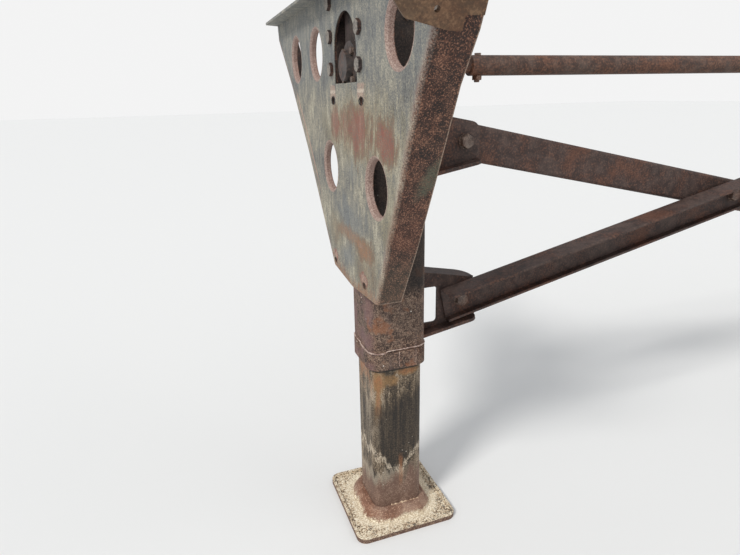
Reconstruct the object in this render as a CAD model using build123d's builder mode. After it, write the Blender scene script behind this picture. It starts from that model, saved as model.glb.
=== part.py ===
from build123d import *
import math
import os

# Landing gear set of a semi trailer, in millimetres.
# X runs across the trailer from the kerb side leg to the road side leg, Y runs to the trailer's rear,
# Z is up. The origin is the middle of the kerb side foot's sole, on the ground.
# The legs stand part way out, as on a parked trailer.

# Driving dimensions of the set
LEG_SPACING = 2080.0
MID_PLANE = Plane.YZ.offset(LEG_SPACING / 2)

# Foot: a pressed square plate with a raised rim and a sloped socket for the inner tube
FOOT_SIZE = 258.0
FOOT_CORNER = 24.0
FOOT_PLATE = 8.0
FOOT_RIM_WIDTH = 8.0
FOOT_RIM_HEIGHT = 4.0
SOCKET_SIZE = 180.0
SOCKET_CORNER = 50.0
SOCKET_HEIGHT = 26.0
SOCKET_SLOPE = 32.0
TUBE_FIT = 0.5

# Telescopic tubes
INNER_SIZE = 127.0
INNER_WALL = 6.5
INNER_CORNER = 27.0
INNER_TOP = 690.0
NUT_PLATE = 12.0
OUTER_SIZE = 140.0
OUTER_WALL = 4.5
OUTER_CORNER = 30.0
OUTER_TOP = 1206.0
COLLAR_BOTTOM = 420.0
COLLAR_HEIGHT = 42.0
COLLAR_LEDGE = 8.0
COLLAR_PROUD = 2.0
CAP_HEIGHT = 8.0
CAP_CHAMFER = 3.0

# Wing plate: a pressed sheet outboard of the leg, with flanges and round lightening holes
SHEET = 6.0
WEB_OUTER_X = -87.0
WEB_INNER_X = WEB_OUTER_X + SHEET
WING_TOP = 1222.6
FRONT_EDGE = [(-161, 620), (-290, 885), (-356, 1027), (-402, 1097), (-457, WING_TOP)]
REAR_EDGE = [(145, 622.5), (354, 877), (513, 1042), (658, 1172), (668, WING_TOP)]
BOTTOM_KINK = (0, 609)
# inboard reach of the front and rear flanges, as (reach, height)
FRONT_REACH = [(52, 600), (60, 750), (70, WING_TOP + 1)]
REAR_REACH = [(40, 600), (44, 850), (60, WING_TOP + 1)]
TOP_FLANGE = 38.0
TOP_CLIP = 22.0
TOP_SETBACK = 4.0
BEND = 8.0
LIGHTENING_HOLES = [(-166, 852), (134, 861), (-278, 1108), (223, 1108), (429, 1109)]
HOLE_RADIUS = 53.5
LIP_WALL = 5.0
LIP_DEPTH = 9.0
LIP_CHAMFER = 4.0
ARCH_HALF = 73.0
ARCH_BOTTOM = 1040.0
ARCH_CENTRE = 1098.0
BOLT_COLUMN = 93.5
BOLT_ROWS = [1006.0, 1069.5, 1133.0, 1196.5]
BOLT_HOLE = 17.0
LOW_HOLES = [(-85, 636), (125.5, 636)]
LOW_HOLE = 14.0

# Transverse tab on the upper front flange, notched below at its inboard end and clipped outboard
TAB_THICK = 10.0
TAB_INBOARD = -24.0
TAB_OUTBOARD = -155.0
TAB_NOTCH = (28.0, 20.0)
TAB_LOW_EDGE = [(-72, 0), (-136, 14), (TAB_OUTBOARD, 35)]
TAB_HOLE_PLACE = (-94.0, 26.0)
TAB_HOLE = 9.0

# Angles that carry the wing plate on the leg
ANGLE_THICK = 9.0
ANGLE_EDGE = 118.0
ANGLE_INBOARD = 26.0
ANGLE_BOTTOM = 985.0
ANGLE_TOP = 1214.0

# Ears for the braces: pressed plates, with a top flange turned to the rear and a bottom lip turned to
# the front. Heights are at the tube and at the outer end, lengths are reached from the leg's middle.
EAR_PLATE = 8.0
EAR_TOP_ROUND = 26.0
EAR_LOW_ROUND = 10.0
EAR_FLANGE_DEPTH = 50.0
EAR_FLANGE_ROUND = 30.0
EAR_LIP_DEPTH = 28.0
EAR_LIP_ROUND = 20.0
LOWER_EAR = dict(tube=(463.0, 623.0), end=(490.0, 590.0), reach=228.0, top_reach=226.0, lip_reach=224.0)
UPPER_EAR = dict(tube=(840.0, 984.0), end=(867.0, 953.0), reach=224.0, top_reach=128.0, lip_reach=222.0)
LOWER_BOLT = (184.0, 543.0)
UPPER_BOLT = (187.0, 914.0)
EAR_WINDOW_CENTRE = (104.0, 534.0)
EAR_WINDOW_SIZE = (42.0, 92.0)
EAR_WINDOW_CORNER = 9.0
BRACE_BOLT = 17.0

# Cross braces: formed channels with a deep top flange and a shallow bottom one
BRACE_WEB = 82.5
BRACE_TOP_FLANGE = 64.0
BRACE_LOW_FLANGE = 24.0
BRACE_SHEET = 6.0
BRACE_ROUND = 9.0
BRACE_LAP = 47.0

# Shafts and gear case, all on one level line
SHAFT_Z = 1071.5
SHAFT_RADIUS = 15.0
CROSS_RADIUS = 21.0
CROSS_WALL = 4.0
CROSS_END = 200.0
SPIGOT = 34.0
SHAFT_CLEAR = 0.5
CAP_FLANGE_RADIUS = 46.0
CAP_FLANGE_THICK = 8.0
CAP_BOSS_RADIUS = 29.0
CAP_BOSS_LENGTH = 14.0
CASE_WIDTH = 168.0
CASE_HEIGHT = 148.0
CASE_DEPTH = 46.0
CASE_CORNER = 34.0
CASE_RIM = 10.0
CASE_RIM_THICK = 8.0
CASE_WALL_HOLE = 23.0
COVER_BULGE = 52.0
COVER_BULGE_HEIGHT = 22.0

# Crank, hanging folded down from the shaft's outboard end
PIVOT_X = LEG_SPACING + 200.0
TONGUE_HALF = 10.0
TONGUE_LENGTH = 40.0
CLEVIS_GAP = 1.0
CLEVIS_CHEEK = 6.0
CLEVIS_WIDTH = 34.0
CLEVIS_DROP = 30.0
CLEVIS_BRIDGE = 14.0
PIN_RADIUS = 6.0
PIN_HEAD = 9.0
PIN_HEAD_THICK = 5.0
ROD_RADIUS = 12.0
ROD_BEND = 38.0
ROD_DROP = 120.0
ROD_ARM = 300.0
ROD_GRIP = 150.0
STOP_RADIUS = 16.0
STOP_THICK = 4.0
GRIP_RADIUS = 17.0
GRIP_LENGTH = 104.0
GRIP_FIT = 0.4

os.makedirs("parts", exist_ok=True)


def save(part, name):
    """Label a finished piece and write it to its file."""
    part.label = name
    export_step(part, f"parts/{name}.step")


def save_both(part, name):
    """Write a piece of the kerb side leg and its mirror image of the road side leg."""
    save(part, f"kerb_{name}")
    with BuildPart() as road:
        mirror(part, about=MID_PLANE)
    save(road.part, f"road_{name}")


def turned(part):
    """Turn a piece half round about the upright line half way between the legs."""
    with BuildPart() as turned_part:
        with Locations((LEG_SPACING, 0, 0)):
            add(part, rotation=(0, 0, 180))
    return turned_part.part


def square_ring(size, corner, wall):
    """Draw the section of a square tube in the open sketch."""
    RectangleRounded(size, size, corner)
    RectangleRounded(size - 2 * wall, size - 2 * wall, corner - wall, mode=Mode.SUBTRACT)


# Foot
with BuildPart() as foot:
    with BuildSketch():
        RectangleRounded(FOOT_SIZE, FOOT_SIZE, FOOT_CORNER)
    extrude(amount=FOOT_PLATE)
    with BuildSketch(Plane.XY.offset(FOOT_PLATE)):
        square_ring(FOOT_SIZE, FOOT_CORNER, FOOT_RIM_WIDTH)
    extrude(amount=FOOT_RIM_HEIGHT)
    with BuildSketch(Plane.XY.offset(FOOT_PLATE)):
        RectangleRounded(SOCKET_SIZE, SOCKET_SIZE, SOCKET_CORNER)
    extrude(amount=SOCKET_HEIGHT, taper=SOCKET_SLOPE)
    with BuildSketch(Plane.XY.offset(FOOT_PLATE)):
        RectangleRounded(INNER_SIZE + 2 * TUBE_FIT, INNER_SIZE + 2 * TUBE_FIT, INNER_CORNER + TUBE_FIT)
    extrude(amount=SOCKET_HEIGHT + 1, mode=Mode.SUBTRACT)
save_both(foot.part, "foot")

# Inner tube, closed at its top by the nut plate
with BuildPart() as inner_tube:
    with BuildSketch(Plane.XY.offset(FOOT_PLATE)):
        square_ring(INNER_SIZE, INNER_CORNER, INNER_WALL)
    extrude(amount=INNER_TOP - FOOT_PLATE)
    with BuildSketch(Plane.XY.offset(INNER_TOP - NUT_PLATE)):
        RectangleRounded(INNER_SIZE, INNER_SIZE, INNER_CORNER)
    extrude(amount=NUT_PLATE)
save_both(inner_tube.part, "inner_tube")

# Outer tube, with the shaft's holes in its two side walls
with BuildPart() as outer_tube:
    with BuildSketch(Plane.XY.offset(COLLAR_BOTTOM + COLLAR_LEDGE)):
        square_ring(OUTER_SIZE, OUTER_CORNER, OUTER_WALL)
    extrude(amount=OUTER_TOP - COLLAR_BOTTOM - COLLAR_LEDGE)
    with BuildSketch(Plane.YZ):
        with Locations((0, SHAFT_Z)):
            Circle(CASE_WALL_HOLE)
    extrude(amount=OUTER_SIZE, both=True, mode=Mode.SUBTRACT)
save_both(outer_tube.part, "outer_tube")

# Collar at the outer tube's lower end, with a ledge under the tube
with BuildPart() as collar:
    with BuildSketch(Plane.XY.offset(COLLAR_BOTTOM)):
        RectangleRounded(
            OUTER_SIZE + 2 * COLLAR_PROUD, OUTER_SIZE + 2 * COLLAR_PROUD, OUTER_CORNER + COLLAR_PROUD
        )
    extrude(amount=COLLAR_HEIGHT)
    with BuildSketch(Plane.XY.offset(COLLAR_BOTTOM)):
        RectangleRounded(
            OUTER_SIZE - 2 * OUTER_WALL, OUTER_SIZE - 2 * OUTER_WALL, OUTER_CORNER - OUTER_WALL
        )
    extrude(amount=COLLAR_LEDGE, mode=Mode.SUBTRACT)
    with BuildSketch(Plane.XY.offset(COLLAR_BOTTOM + COLLAR_LEDGE)):
        RectangleRounded(OUTER_SIZE + 0.2, OUTER_SIZE + 0.2, OUTER_CORNER + 0.1)
    extrude(amount=COLLAR_HEIGHT, mode=Mode.SUBTRACT)
save_both(collar.part, "collar")

# Cap on the outer tube
with BuildPart() as top_cap:
    with BuildSketch(Plane.XY.offset(OUTER_TOP)):
        RectangleRounded(OUTER_SIZE, OUTER_SIZE, OUTER_CORNER)
    extrude(amount=CAP_HEIGHT)
    chamfer(top_cap.faces().sort_by(Axis.Z)[-1].edges(), length=CAP_CHAMFER)
save_both(top_cap.part, "top_cap")


def run_on(edge, length):
    """Carry both ends of an edge's line on by a length."""
    first, last = Vector(*edge[0]), Vector(*edge[-1])
    lower = first + (first - Vector(*edge[1])).normalized() * length
    upper = last + (last - Vector(*edge[-2])).normalized() * length
    return [lower, *edge[1:-1], upper]


# Wing plate, pressed from one sheet
with BuildPart() as wing_plate:
    with BuildSketch(Plane.YZ.offset(WEB_OUTER_X)):
        with BuildLine():
            Polyline(*FRONT_EDGE[::-1], BOTTOM_KINK, *REAR_EDGE, close=True)
        make_face()
    extrude(amount=FRONT_REACH[-1][0])
    # the sheet bends round the two sloping edges
    outer_face = wing_plate.faces().sort_by(Axis.X)[0]
    bends = outer_face.edges().filter_by(lambda edge: FRONT_EDGE[0][1] + 5 < edge.center().Z < WING_TOP - 5)
    fillet(bends, radius=BEND)
    # hollow behind the web, open at the bottom, the top and inboard
    with BuildSketch(Plane.YZ.offset(WEB_INNER_X)):
        front_line, rear_line = run_on(FRONT_EDGE, BEND * 4), run_on(REAR_EDGE, BEND * 4)
        with BuildLine():
            Polyline(*front_line[::-1], (BOTTOM_KINK[0], BOTTOM_KINK[1] - BEND * 4), *rear_line, close=True)
        make_face()
        for line, side in ((front_line, Side.RIGHT), (rear_line, Side.LEFT)):
            with BuildLine():
                bent = Polyline(*line)
                offset(bent, amount=SHEET, side=side, kind=Kind.INTERSECTION)
            make_face(mode=Mode.SUBTRACT)
    extrude(amount=FRONT_REACH[-1][0], mode=Mode.SUBTRACT)
    # the flanges narrow towards the bottom
    for reaches, forward in ((FRONT_REACH, 800), (REAR_REACH, -800)):
        with BuildSketch(Plane.XZ):
            with BuildLine():
                Polyline(
                    *[(WEB_OUTER_X + reach, z) for reach, z in reaches],
                    (WEB_OUTER_X + 100, WING_TOP + 1),
                    (WEB_OUTER_X + 100, 600),
                    close=True,
                )
            make_face()
        extrude(amount=forward, mode=Mode.SUBTRACT)
    # top flange, bent outboard, with clipped ends
    front_end = FRONT_EDGE[-1][0] + TOP_SETBACK
    rear_end = REAR_EDGE[-1][0] - TOP_SETBACK
    with BuildSketch(Plane.XY.offset(WING_TOP - SHEET)):
        with BuildLine():
            Polyline(
                (WEB_INNER_X, front_end),
                (WEB_OUTER_X, front_end),
                (WEB_OUTER_X - TOP_FLANGE, front_end + TOP_CLIP),
                (WEB_OUTER_X - TOP_FLANGE, rear_end - TOP_CLIP),
                (WEB_OUTER_X, rear_end),
                (WEB_INNER_X, rear_end),
                close=True,
            )
        make_face()
    extrude(amount=SHEET)
    # lightening holes with lips pressed inboard
    with BuildSketch(Plane.YZ.offset(WEB_INNER_X)):
        with Locations(*LIGHTENING_HOLES):
            Circle(HOLE_RADIUS + LIP_WALL)
    extrude(amount=LIP_DEPTH)
    with BuildSketch(Plane.YZ.offset(WEB_OUTER_X - 1)):
        with Locations(*LIGHTENING_HOLES):
            Circle(HOLE_RADIUS)
        with Locations((0, ARCH_CENTRE)):
            Circle(ARCH_HALF)
        with Locations((0, (ARCH_BOTTOM + ARCH_CENTRE) / 2)):
            Rectangle(2 * ARCH_HALF, ARCH_CENTRE - ARCH_BOTTOM)
        with Locations(*[(y, z) for y in (-BOLT_COLUMN, BOLT_COLUMN) for z in BOLT_ROWS]):
            Circle(BOLT_HOLE / 2)
        with Locations(*LOW_HOLES):
            Circle(LOW_HOLE / 2)
    extrude(amount=SHEET + LIP_DEPTH + 2, mode=Mode.SUBTRACT)
    # the pressing draws the holes' outer rims in
    rims = wing_plate.edges().filter_by(GeomType.CIRCLE).filter_by_position(
        Axis.X, WEB_OUTER_X - 0.1, WEB_OUTER_X + 0.1
    )
    chamfer(rims.filter_by(lambda rim: abs(rim.radius - HOLE_RADIUS) < 0.1), length=LIP_CHAMFER)
save_both(wing_plate.part, "wing_plate")

# Tab on the upper front flange, drawn in the flange's sloping plane from its lower end up
low, high = Vector(0, *FRONT_EDGE[-2]), Vector(0, *FRONT_EDGE[-1])
tab_height = (high - low).length
uphill = (high - low).normalized()
with BuildPart() as front_tab:
    with BuildSketch(Plane(origin=low, x_dir=(1, 0, 0), z_dir=(0, -uphill.Z, uphill.Y))):
        with BuildLine():
            Polyline(
                (TAB_INBOARD, tab_height),
                (TAB_INBOARD, TAB_NOTCH[1]),
                (TAB_INBOARD - TAB_NOTCH[0], TAB_NOTCH[1]),
                (TAB_INBOARD - TAB_NOTCH[0], 0),
                *TAB_LOW_EDGE,
                (TAB_OUTBOARD, tab_height),
                close=True,
            )
        make_face()
        with Locations(TAB_HOLE_PLACE):
            Circle(TAB_HOLE / 2, mode=Mode.SUBTRACT)
    extrude(amount=TAB_THICK)
save_both(front_tab.part, "front_tab")

# Angles between the leg and the wing plate
with BuildPart() as mount_angles:
    for sign in (-1, 1):
        with BuildSketch(Plane.XY.offset(ANGLE_BOTTOM)):
            with BuildLine():
                Polyline(
                    (WEB_INNER_X, sign * ANGLE_EDGE),
                    (WEB_INNER_X, sign * OUTER_SIZE / 2),
                    (ANGLE_INBOARD, sign * OUTER_SIZE / 2),
                    (ANGLE_INBOARD, sign * (OUTER_SIZE / 2 + ANGLE_THICK)),
                    (WEB_INNER_X + ANGLE_THICK, sign * (OUTER_SIZE / 2 + ANGLE_THICK)),
                    (WEB_INNER_X + ANGLE_THICK, sign * ANGLE_EDGE),
                    close=True,
                )
            make_face()
        extrude(amount=ANGLE_TOP - ANGLE_BOTTOM)
    with BuildSketch(Plane.YZ.offset(WEB_INNER_X)):
        with Locations(*[(y, z) for y in (-BOLT_COLUMN, BOLT_COLUMN) for z in BOLT_ROWS]):
            Circle(BOLT_HOLE / 2)
    extrude(amount=ANGLE_THICK, mode=Mode.SUBTRACT)
save_both(mount_angles.part, "mount_angles")


def build_ear(tube, end, reach, top_reach, lip_reach, bolt, window=False):
    """Press a brace ear: an upright plate with a top flange to the rear and a bottom lip to the front."""
    root_x = OUTER_SIZE / 2
    run = reach - root_x
    top_run = Vector(run, 0, end[1] - tube[1]).normalized()
    low_run = Vector(run, 0, end[0] - tube[0]).normalized()
    with BuildPart() as ear:
        with BuildSketch(Plane.XZ.offset(-EAR_PLATE / 2)) as plate:
            with BuildLine():
                Polyline((root_x, tube[0]), (root_x, tube[1]), (reach, end[1]), (reach, end[0]), close=True)
            make_face()
            low_corner, top_corner = plate.vertices().group_by(Axis.X)[-1].sort_by(Axis.Y)
            fillet(top_corner, radius=EAR_TOP_ROUND)
            fillet(low_corner, radius=EAR_LOW_ROUND)
            with Locations(bolt):
                Circle(BRACE_BOLT / 2, mode=Mode.SUBTRACT)
            if window:
                with Locations(EAR_WINDOW_CENTRE):
                    RectangleRounded(*EAR_WINDOW_SIZE, EAR_WINDOW_CORNER, mode=Mode.SUBTRACT)
        extrude(amount=EAR_PLATE)
        # each flange is drawn in its own sloping plane, with its free corner rounded
        for start_z, slope, length, depth, corner, down in (
            (tube[1], top_run, (top_reach - root_x) / top_run.X, EAR_FLANGE_DEPTH, EAR_FLANGE_ROUND, -1),
            (tube[0], low_run, (lip_reach - root_x) / low_run.X, -EAR_LIP_DEPTH, EAR_LIP_ROUND, 1),
        ):
            upright = Vector(-slope.Z, 0, slope.X)
            plane = Plane(origin=(root_x, 0, start_z), x_dir=slope, z_dir=upright)
            near = math.copysign(EAR_PLATE / 2, depth)
            with BuildSketch(plane) as flange:
                with BuildLine():
                    Polyline((0, near), (length, near), (length, near + depth), (0, near + depth), close=True)
                make_face()
                free = flange.vertices().group_by(Axis.X)[-1].sort_by(Axis.Y)[0 if depth < 0 else -1]
                fillet(free, radius=corner)
            extrude(amount=down * EAR_PLATE)
        # trim what the sloping flanges leave inside the tube
        with BuildSketch(Plane.XY.offset(tube[0] - 50)):
            Rectangle(OUTER_SIZE, OUTER_SIZE)
        extrude(amount=tube[1] - tube[0] + 100, mode=Mode.SUBTRACT)
    return ear.part


lower_ear = build_ear(**LOWER_EAR, bolt=LOWER_BOLT, window=True)
upper_ear = build_ear(**UPPER_EAR, bolt=UPPER_BOLT)
for ear, name in ((lower_ear, "lower_ear"), (upper_ear, "upper_ear")):
    save(ear, f"kerb_{name}")
    save(turned(ear), f"road_{name}")

# Front brace, from the kerb side's lower ear up to the road side's upper ear
brace_run = LEG_SPACING - UPPER_BOLT[0] - LOWER_BOLT[0]
brace_rise = UPPER_BOLT[1] - LOWER_BOLT[1]
along = Vector(brace_run, 0, brace_rise).normalized()
brace_length = math.hypot(brace_run, brace_rise) + 2 * BRACE_LAP
brace_start = Vector(LOWER_BOLT[0], 0, LOWER_BOLT[1]) - along * BRACE_LAP
section = Plane(origin=brace_start, x_dir=(0, 1, 0), z_dir=along)
back = -EAR_PLATE / 2
with BuildPart() as brace_front:
    with BuildSketch(section) as channel:
        with BuildLine():
            Polyline(
                (back, -BRACE_WEB / 2),
                (back, BRACE_WEB / 2),
                (back - BRACE_TOP_FLANGE, BRACE_WEB / 2),
                (back - BRACE_TOP_FLANGE, BRACE_WEB / 2 - BRACE_SHEET),
                (back - BRACE_SHEET, BRACE_WEB / 2 - BRACE_SHEET),
                (back - BRACE_SHEET, -BRACE_WEB / 2 + BRACE_SHEET),
                (back - BRACE_LOW_FLANGE, -BRACE_WEB / 2 + BRACE_SHEET),
                (back - BRACE_LOW_FLANGE, -BRACE_WEB / 2),
                close=True,
            )
        make_face()
        fillet(channel.vertices().group_by(Axis.X)[-1], radius=BRACE_ROUND)
    extrude(amount=brace_length)
    with BuildSketch(Plane.XZ):
        with Locations(
            LOWER_BOLT,
            (LEG_SPACING - UPPER_BOLT[0], UPPER_BOLT[1]),
            (LEG_SPACING / 2, (UPPER_BOLT[1] + LOWER_BOLT[1]) / 2),
        ):
            Circle(BRACE_BOLT / 2)
    extrude(amount=-back + BRACE_SHEET + 1, mode=Mode.SUBTRACT)
save(brace_front.part, "brace_front")

# Rear brace: the same channel turned end for end behind the ears
save(turned(brace_front.part), "brace_rear")

tube_face = OUTER_SIZE / 2


def build_bearing(face_x, outward, bored, boss_length):
    """Make a round flange and boss on a tube's face, with or without the shaft's bore."""
    axis = Plane(origin=(face_x, 0, SHAFT_Z), x_dir=(0, 1, 0), z_dir=(outward, 0, 0))
    with BuildPart() as bearing:
        with BuildSketch(axis):
            Circle(CAP_FLANGE_RADIUS)
        extrude(amount=CAP_FLANGE_THICK)
        with BuildSketch(axis.offset(CAP_FLANGE_THICK)):
            Circle(CAP_BOSS_RADIUS)
        extrude(amount=boss_length, taper=4)
        if bored:
            with BuildSketch(axis.offset(-1)):
                Circle(SHAFT_RADIUS + SHAFT_CLEAR)
            extrude(amount=CAP_FLANGE_THICK + boss_length + 2, mode=Mode.SUBTRACT)
    return bearing.part


# Bearings: blind behind the kerb side's arch window, bored for the shaft in the other two places
save(build_bearing(-tube_face, -1, False, CAP_BOSS_LENGTH), "kerb_bearing_cap")
save(build_bearing(LEG_SPACING + tube_face, 1, True, CAP_BOSS_LENGTH + 10), "road_bearing_cap")
save(build_bearing(tube_face, 1, True, CAP_BOSS_LENGTH + 20), "kerb_shaft_bearing")

# Gear case on the inboard face of the road side leg
case_face = LEG_SPACING - tube_face
with BuildPart() as gear_case:
    with BuildSketch(Plane.YZ.offset(case_face - CASE_DEPTH)):
        with Locations((0, SHAFT_Z)):
            RectangleRounded(CASE_WIDTH, CASE_HEIGHT, CASE_CORNER)
    extrude(amount=CASE_DEPTH)
    with BuildSketch(Plane.YZ.offset(case_face - CASE_DEPTH)):
        with Locations((0, SHAFT_Z)):
            RectangleRounded(CASE_WIDTH + 2 * CASE_RIM, CASE_HEIGHT + 2 * CASE_RIM, CASE_CORNER + CASE_RIM)
    extrude(amount=CASE_RIM_THICK)
    with BuildSketch(Plane.YZ.offset(case_face - CASE_DEPTH)):
        with Locations((0, SHAFT_Z)):
            Circle(CASE_WALL_HOLE)
    extrude(amount=CASE_DEPTH, mode=Mode.SUBTRACT)
save(gear_case.part, "gear_case")

with BuildPart() as gear_cover:
    cover_plane = Plane(origin=(case_face - CASE_DEPTH, 0, SHAFT_Z), x_dir=(0, 1, 0), z_dir=(-1, 0, 0))
    with BuildSketch(cover_plane):
        RectangleRounded(CASE_WIDTH + 2 * CASE_RIM, CASE_HEIGHT + 2 * CASE_RIM, CASE_CORNER + CASE_RIM)
    extrude(amount=CASE_RIM_THICK)
    with BuildSketch(cover_plane.offset(CASE_RIM_THICK)):
        Circle(COVER_BULGE)
    extrude(amount=COVER_BULGE_HEIGHT, taper=20)
    with BuildSketch(cover_plane.offset(CASE_RIM_THICK)):
        Circle(CAP_BOSS_RADIUS)
    extrude(amount=COVER_BULGE_HEIGHT + 16)
    with BuildSketch(cover_plane.offset(-1)):
        Circle(SHAFT_RADIUS + SHAFT_CLEAR)
    extrude(amount=120, mode=Mode.SUBTRACT)
save(gear_cover.part, "gear_cover")

# Cross shaft: a tube between two solid stub shafts that shoulder against its ends
with BuildPart() as cross_shaft:
    with BuildSketch(Plane.YZ.offset(CROSS_END)):
        with Locations((0, SHAFT_Z)):
            Circle(CROSS_RADIUS)
            Circle(CROSS_RADIUS - CROSS_WALL, mode=Mode.SUBTRACT)
    extrude(amount=LEG_SPACING - 2 * CROSS_END)
save(cross_shaft.part, "cross_shaft")


def build_stub(start_x, end_x):
    """Make a stub shaft from start_x to the cross shaft's end at end_x, with a shoulder and spigot."""
    toward = math.copysign(1, end_x - start_x)
    axis = Plane(origin=(start_x, 0, SHAFT_Z), x_dir=(0, 1, 0), z_dir=(toward, 0, 0))
    length = abs(end_x - start_x)
    with BuildPart() as stub:
        with BuildSketch(axis):
            Circle(SHAFT_RADIUS)
        extrude(amount=length)
        with BuildSketch(axis.offset(length - CAP_FLANGE_THICK)):
            Circle(CROSS_RADIUS)
        extrude(amount=CAP_FLANGE_THICK)
        with BuildSketch(axis.offset(length)):
            Circle(CROSS_RADIUS - CROSS_WALL - SHAFT_CLEAR)
        extrude(amount=SPIGOT)
    return stub.part


save(build_stub(0, CROSS_END), "kerb_stub_shaft")

with BuildPart() as crank_shaft:
    add(build_stub(PIVOT_X - TONGUE_LENGTH, LEG_SPACING - CROSS_END))
    # flat tongue with a round end, pierced for the folding crank's pin
    with BuildSketch(Plane.XZ.offset(-TONGUE_HALF)):
        with Locations((PIVOT_X - TONGUE_LENGTH / 2, SHAFT_Z)):
            Rectangle(TONGUE_LENGTH, 2 * SHAFT_RADIUS)
        with Locations((PIVOT_X, SHAFT_Z)):
            Circle(SHAFT_RADIUS)
            Circle(PIN_RADIUS + SHAFT_CLEAR, mode=Mode.SUBTRACT)
    extrude(amount=2 * TONGUE_HALF)
save(crank_shaft.part, "crank_shaft")

# Clevis of the folding crank: two cheeks joined by a bridge under the tongue
cheek_inner = TONGUE_HALF + CLEVIS_GAP
cheek_outer = cheek_inner + CLEVIS_CHEEK
with BuildPart() as crank_clevis:
    with BuildSketch(Plane.XZ.offset(-cheek_outer)):
        with Locations((PIVOT_X, SHAFT_Z)):
            Circle(CLEVIS_WIDTH / 2)
        with Locations((PIVOT_X, SHAFT_Z - (CLEVIS_DROP + CLEVIS_BRIDGE) / 2)):
            Rectangle(CLEVIS_WIDTH, CLEVIS_DROP + CLEVIS_BRIDGE)
    extrude(amount=2 * cheek_outer)
    with BuildSketch(Plane.XZ.offset(-cheek_inner)):
        with Locations((PIVOT_X, SHAFT_Z + CLEVIS_WIDTH / 2 - (CLEVIS_DROP + CLEVIS_WIDTH / 2) / 2)):
            Rectangle(CLEVIS_WIDTH + 2, CLEVIS_DROP + CLEVIS_WIDTH / 2)
    extrude(amount=2 * cheek_inner, mode=Mode.SUBTRACT)
    with BuildSketch(Plane.XZ.offset(-cheek_outer)):
        with Locations((PIVOT_X, SHAFT_Z)):
            Circle(PIN_RADIUS + SHAFT_CLEAR)
    extrude(amount=2 * cheek_outer, mode=Mode.SUBTRACT)
save(crank_clevis.part, "crank_clevis")

with BuildPart() as crank_pin:
    with BuildSketch(Plane.XZ.offset(-cheek_outer - PIN_HEAD_THICK)):
        with Locations((PIVOT_X, SHAFT_Z)):
            Circle(PIN_RADIUS)
    extrude(amount=2 * (cheek_outer + PIN_HEAD_THICK))
    for start in (-cheek_outer - PIN_HEAD_THICK, cheek_outer):
        with BuildSketch(Plane.XZ.offset(start)):
            with Locations((PIVOT_X, SHAFT_Z)):
                Circle(PIN_HEAD)
        extrude(amount=PIN_HEAD_THICK)
save(crank_pin.part, "crank_pin")

# Crank rod: down from the clevis, along the trailer's side and down again to the grip
rod_top = SHAFT_Z - CLEVIS_DROP - CLEVIS_BRIDGE
rod_level = rod_top - ROD_DROP
rod_end = rod_level - ROD_GRIP
stop_top = rod_level - ROD_BEND
with BuildPart() as crank_rod:
    with BuildLine() as rod_path:
        FilletPolyline(
            (PIVOT_X, 0, rod_top),
            (PIVOT_X, 0, rod_level),
            (PIVOT_X, ROD_ARM, rod_level),
            (PIVOT_X, ROD_ARM, rod_end),
            radius=ROD_BEND,
        )
    with BuildSketch(Plane(origin=(PIVOT_X, 0, rod_top), z_dir=(0, 0, -1))):
        Circle(ROD_RADIUS)
    sweep(path=rod_path.wires()[0])
    with BuildSketch(Plane(origin=(PIVOT_X, ROD_ARM, stop_top), z_dir=(0, 0, -1))):
        Circle(STOP_RADIUS)
    extrude(amount=STOP_THICK)
save(crank_rod.part, "crank_rod")

with BuildPart() as crank_grip:
    with BuildSketch(Plane(origin=(PIVOT_X, ROD_ARM, stop_top - STOP_THICK), z_dir=(0, 0, -1))):
        Circle(GRIP_RADIUS)
        Circle(ROD_RADIUS + GRIP_FIT, mode=Mode.SUBTRACT)
    extrude(amount=GRIP_LENGTH)
save(crank_grip.part, "crank_grip")
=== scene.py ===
"""The looks of a semi trailer landing gear set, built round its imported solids.

Metres throughout. X runs from the kerb side leg to the road side leg, Y to the rear, Z up, and the origin is
the middle of the kerb side foot's sole.
"""

import logging
import math
from dataclasses import dataclass
from enum import Enum
from functools import reduce
from typing import Callable, Union

import bpy
import numpy as np
from mathutils import Matrix


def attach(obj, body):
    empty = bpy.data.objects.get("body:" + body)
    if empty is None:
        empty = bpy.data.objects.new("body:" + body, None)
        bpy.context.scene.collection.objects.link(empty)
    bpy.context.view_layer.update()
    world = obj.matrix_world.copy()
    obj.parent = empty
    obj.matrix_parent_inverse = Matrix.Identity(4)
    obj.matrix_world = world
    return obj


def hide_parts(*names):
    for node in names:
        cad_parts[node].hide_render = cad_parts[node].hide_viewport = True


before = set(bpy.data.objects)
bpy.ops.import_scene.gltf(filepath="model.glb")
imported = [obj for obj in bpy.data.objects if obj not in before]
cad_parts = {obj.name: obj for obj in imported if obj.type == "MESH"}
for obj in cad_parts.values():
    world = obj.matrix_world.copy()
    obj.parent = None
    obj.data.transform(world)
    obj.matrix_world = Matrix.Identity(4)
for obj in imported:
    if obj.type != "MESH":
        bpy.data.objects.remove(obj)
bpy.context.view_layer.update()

LOG = logging.getLogger("landing_gear")
Array = np.ndarray
Link = bpy.types.NodeSocket
Material = bpy.types.Material
Spot = tuple[float, ...]
Colour = tuple[int, int, int]
Paint = Union[Colour, Link]
Number = Union[float, int, "Shade"]

SPACING = 2.080
SHAFT_Z = 1.0715
TUBE_HALF = 0.070
WEB_X = -0.087
WEB_SHEET = 0.006
BOLT_COLUMN = 0.0935
FRONT_EDGE = ((-0.457, 1.2226), (-0.402, 1.097), (-0.356, 1.027), (-0.290, 0.885), (-0.161, 0.620))
REAR_EDGE = ((0.145, 0.6225), (0.354, 0.877), (0.513, 1.042), (0.658, 1.172), (0.668, 1.2226))
LOW_EDGE = ((-0.161, 0.620), (0.0, 0.609), (0.145, 0.6225))
WASHER = 0.003
PIN = 0.0005


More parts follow.
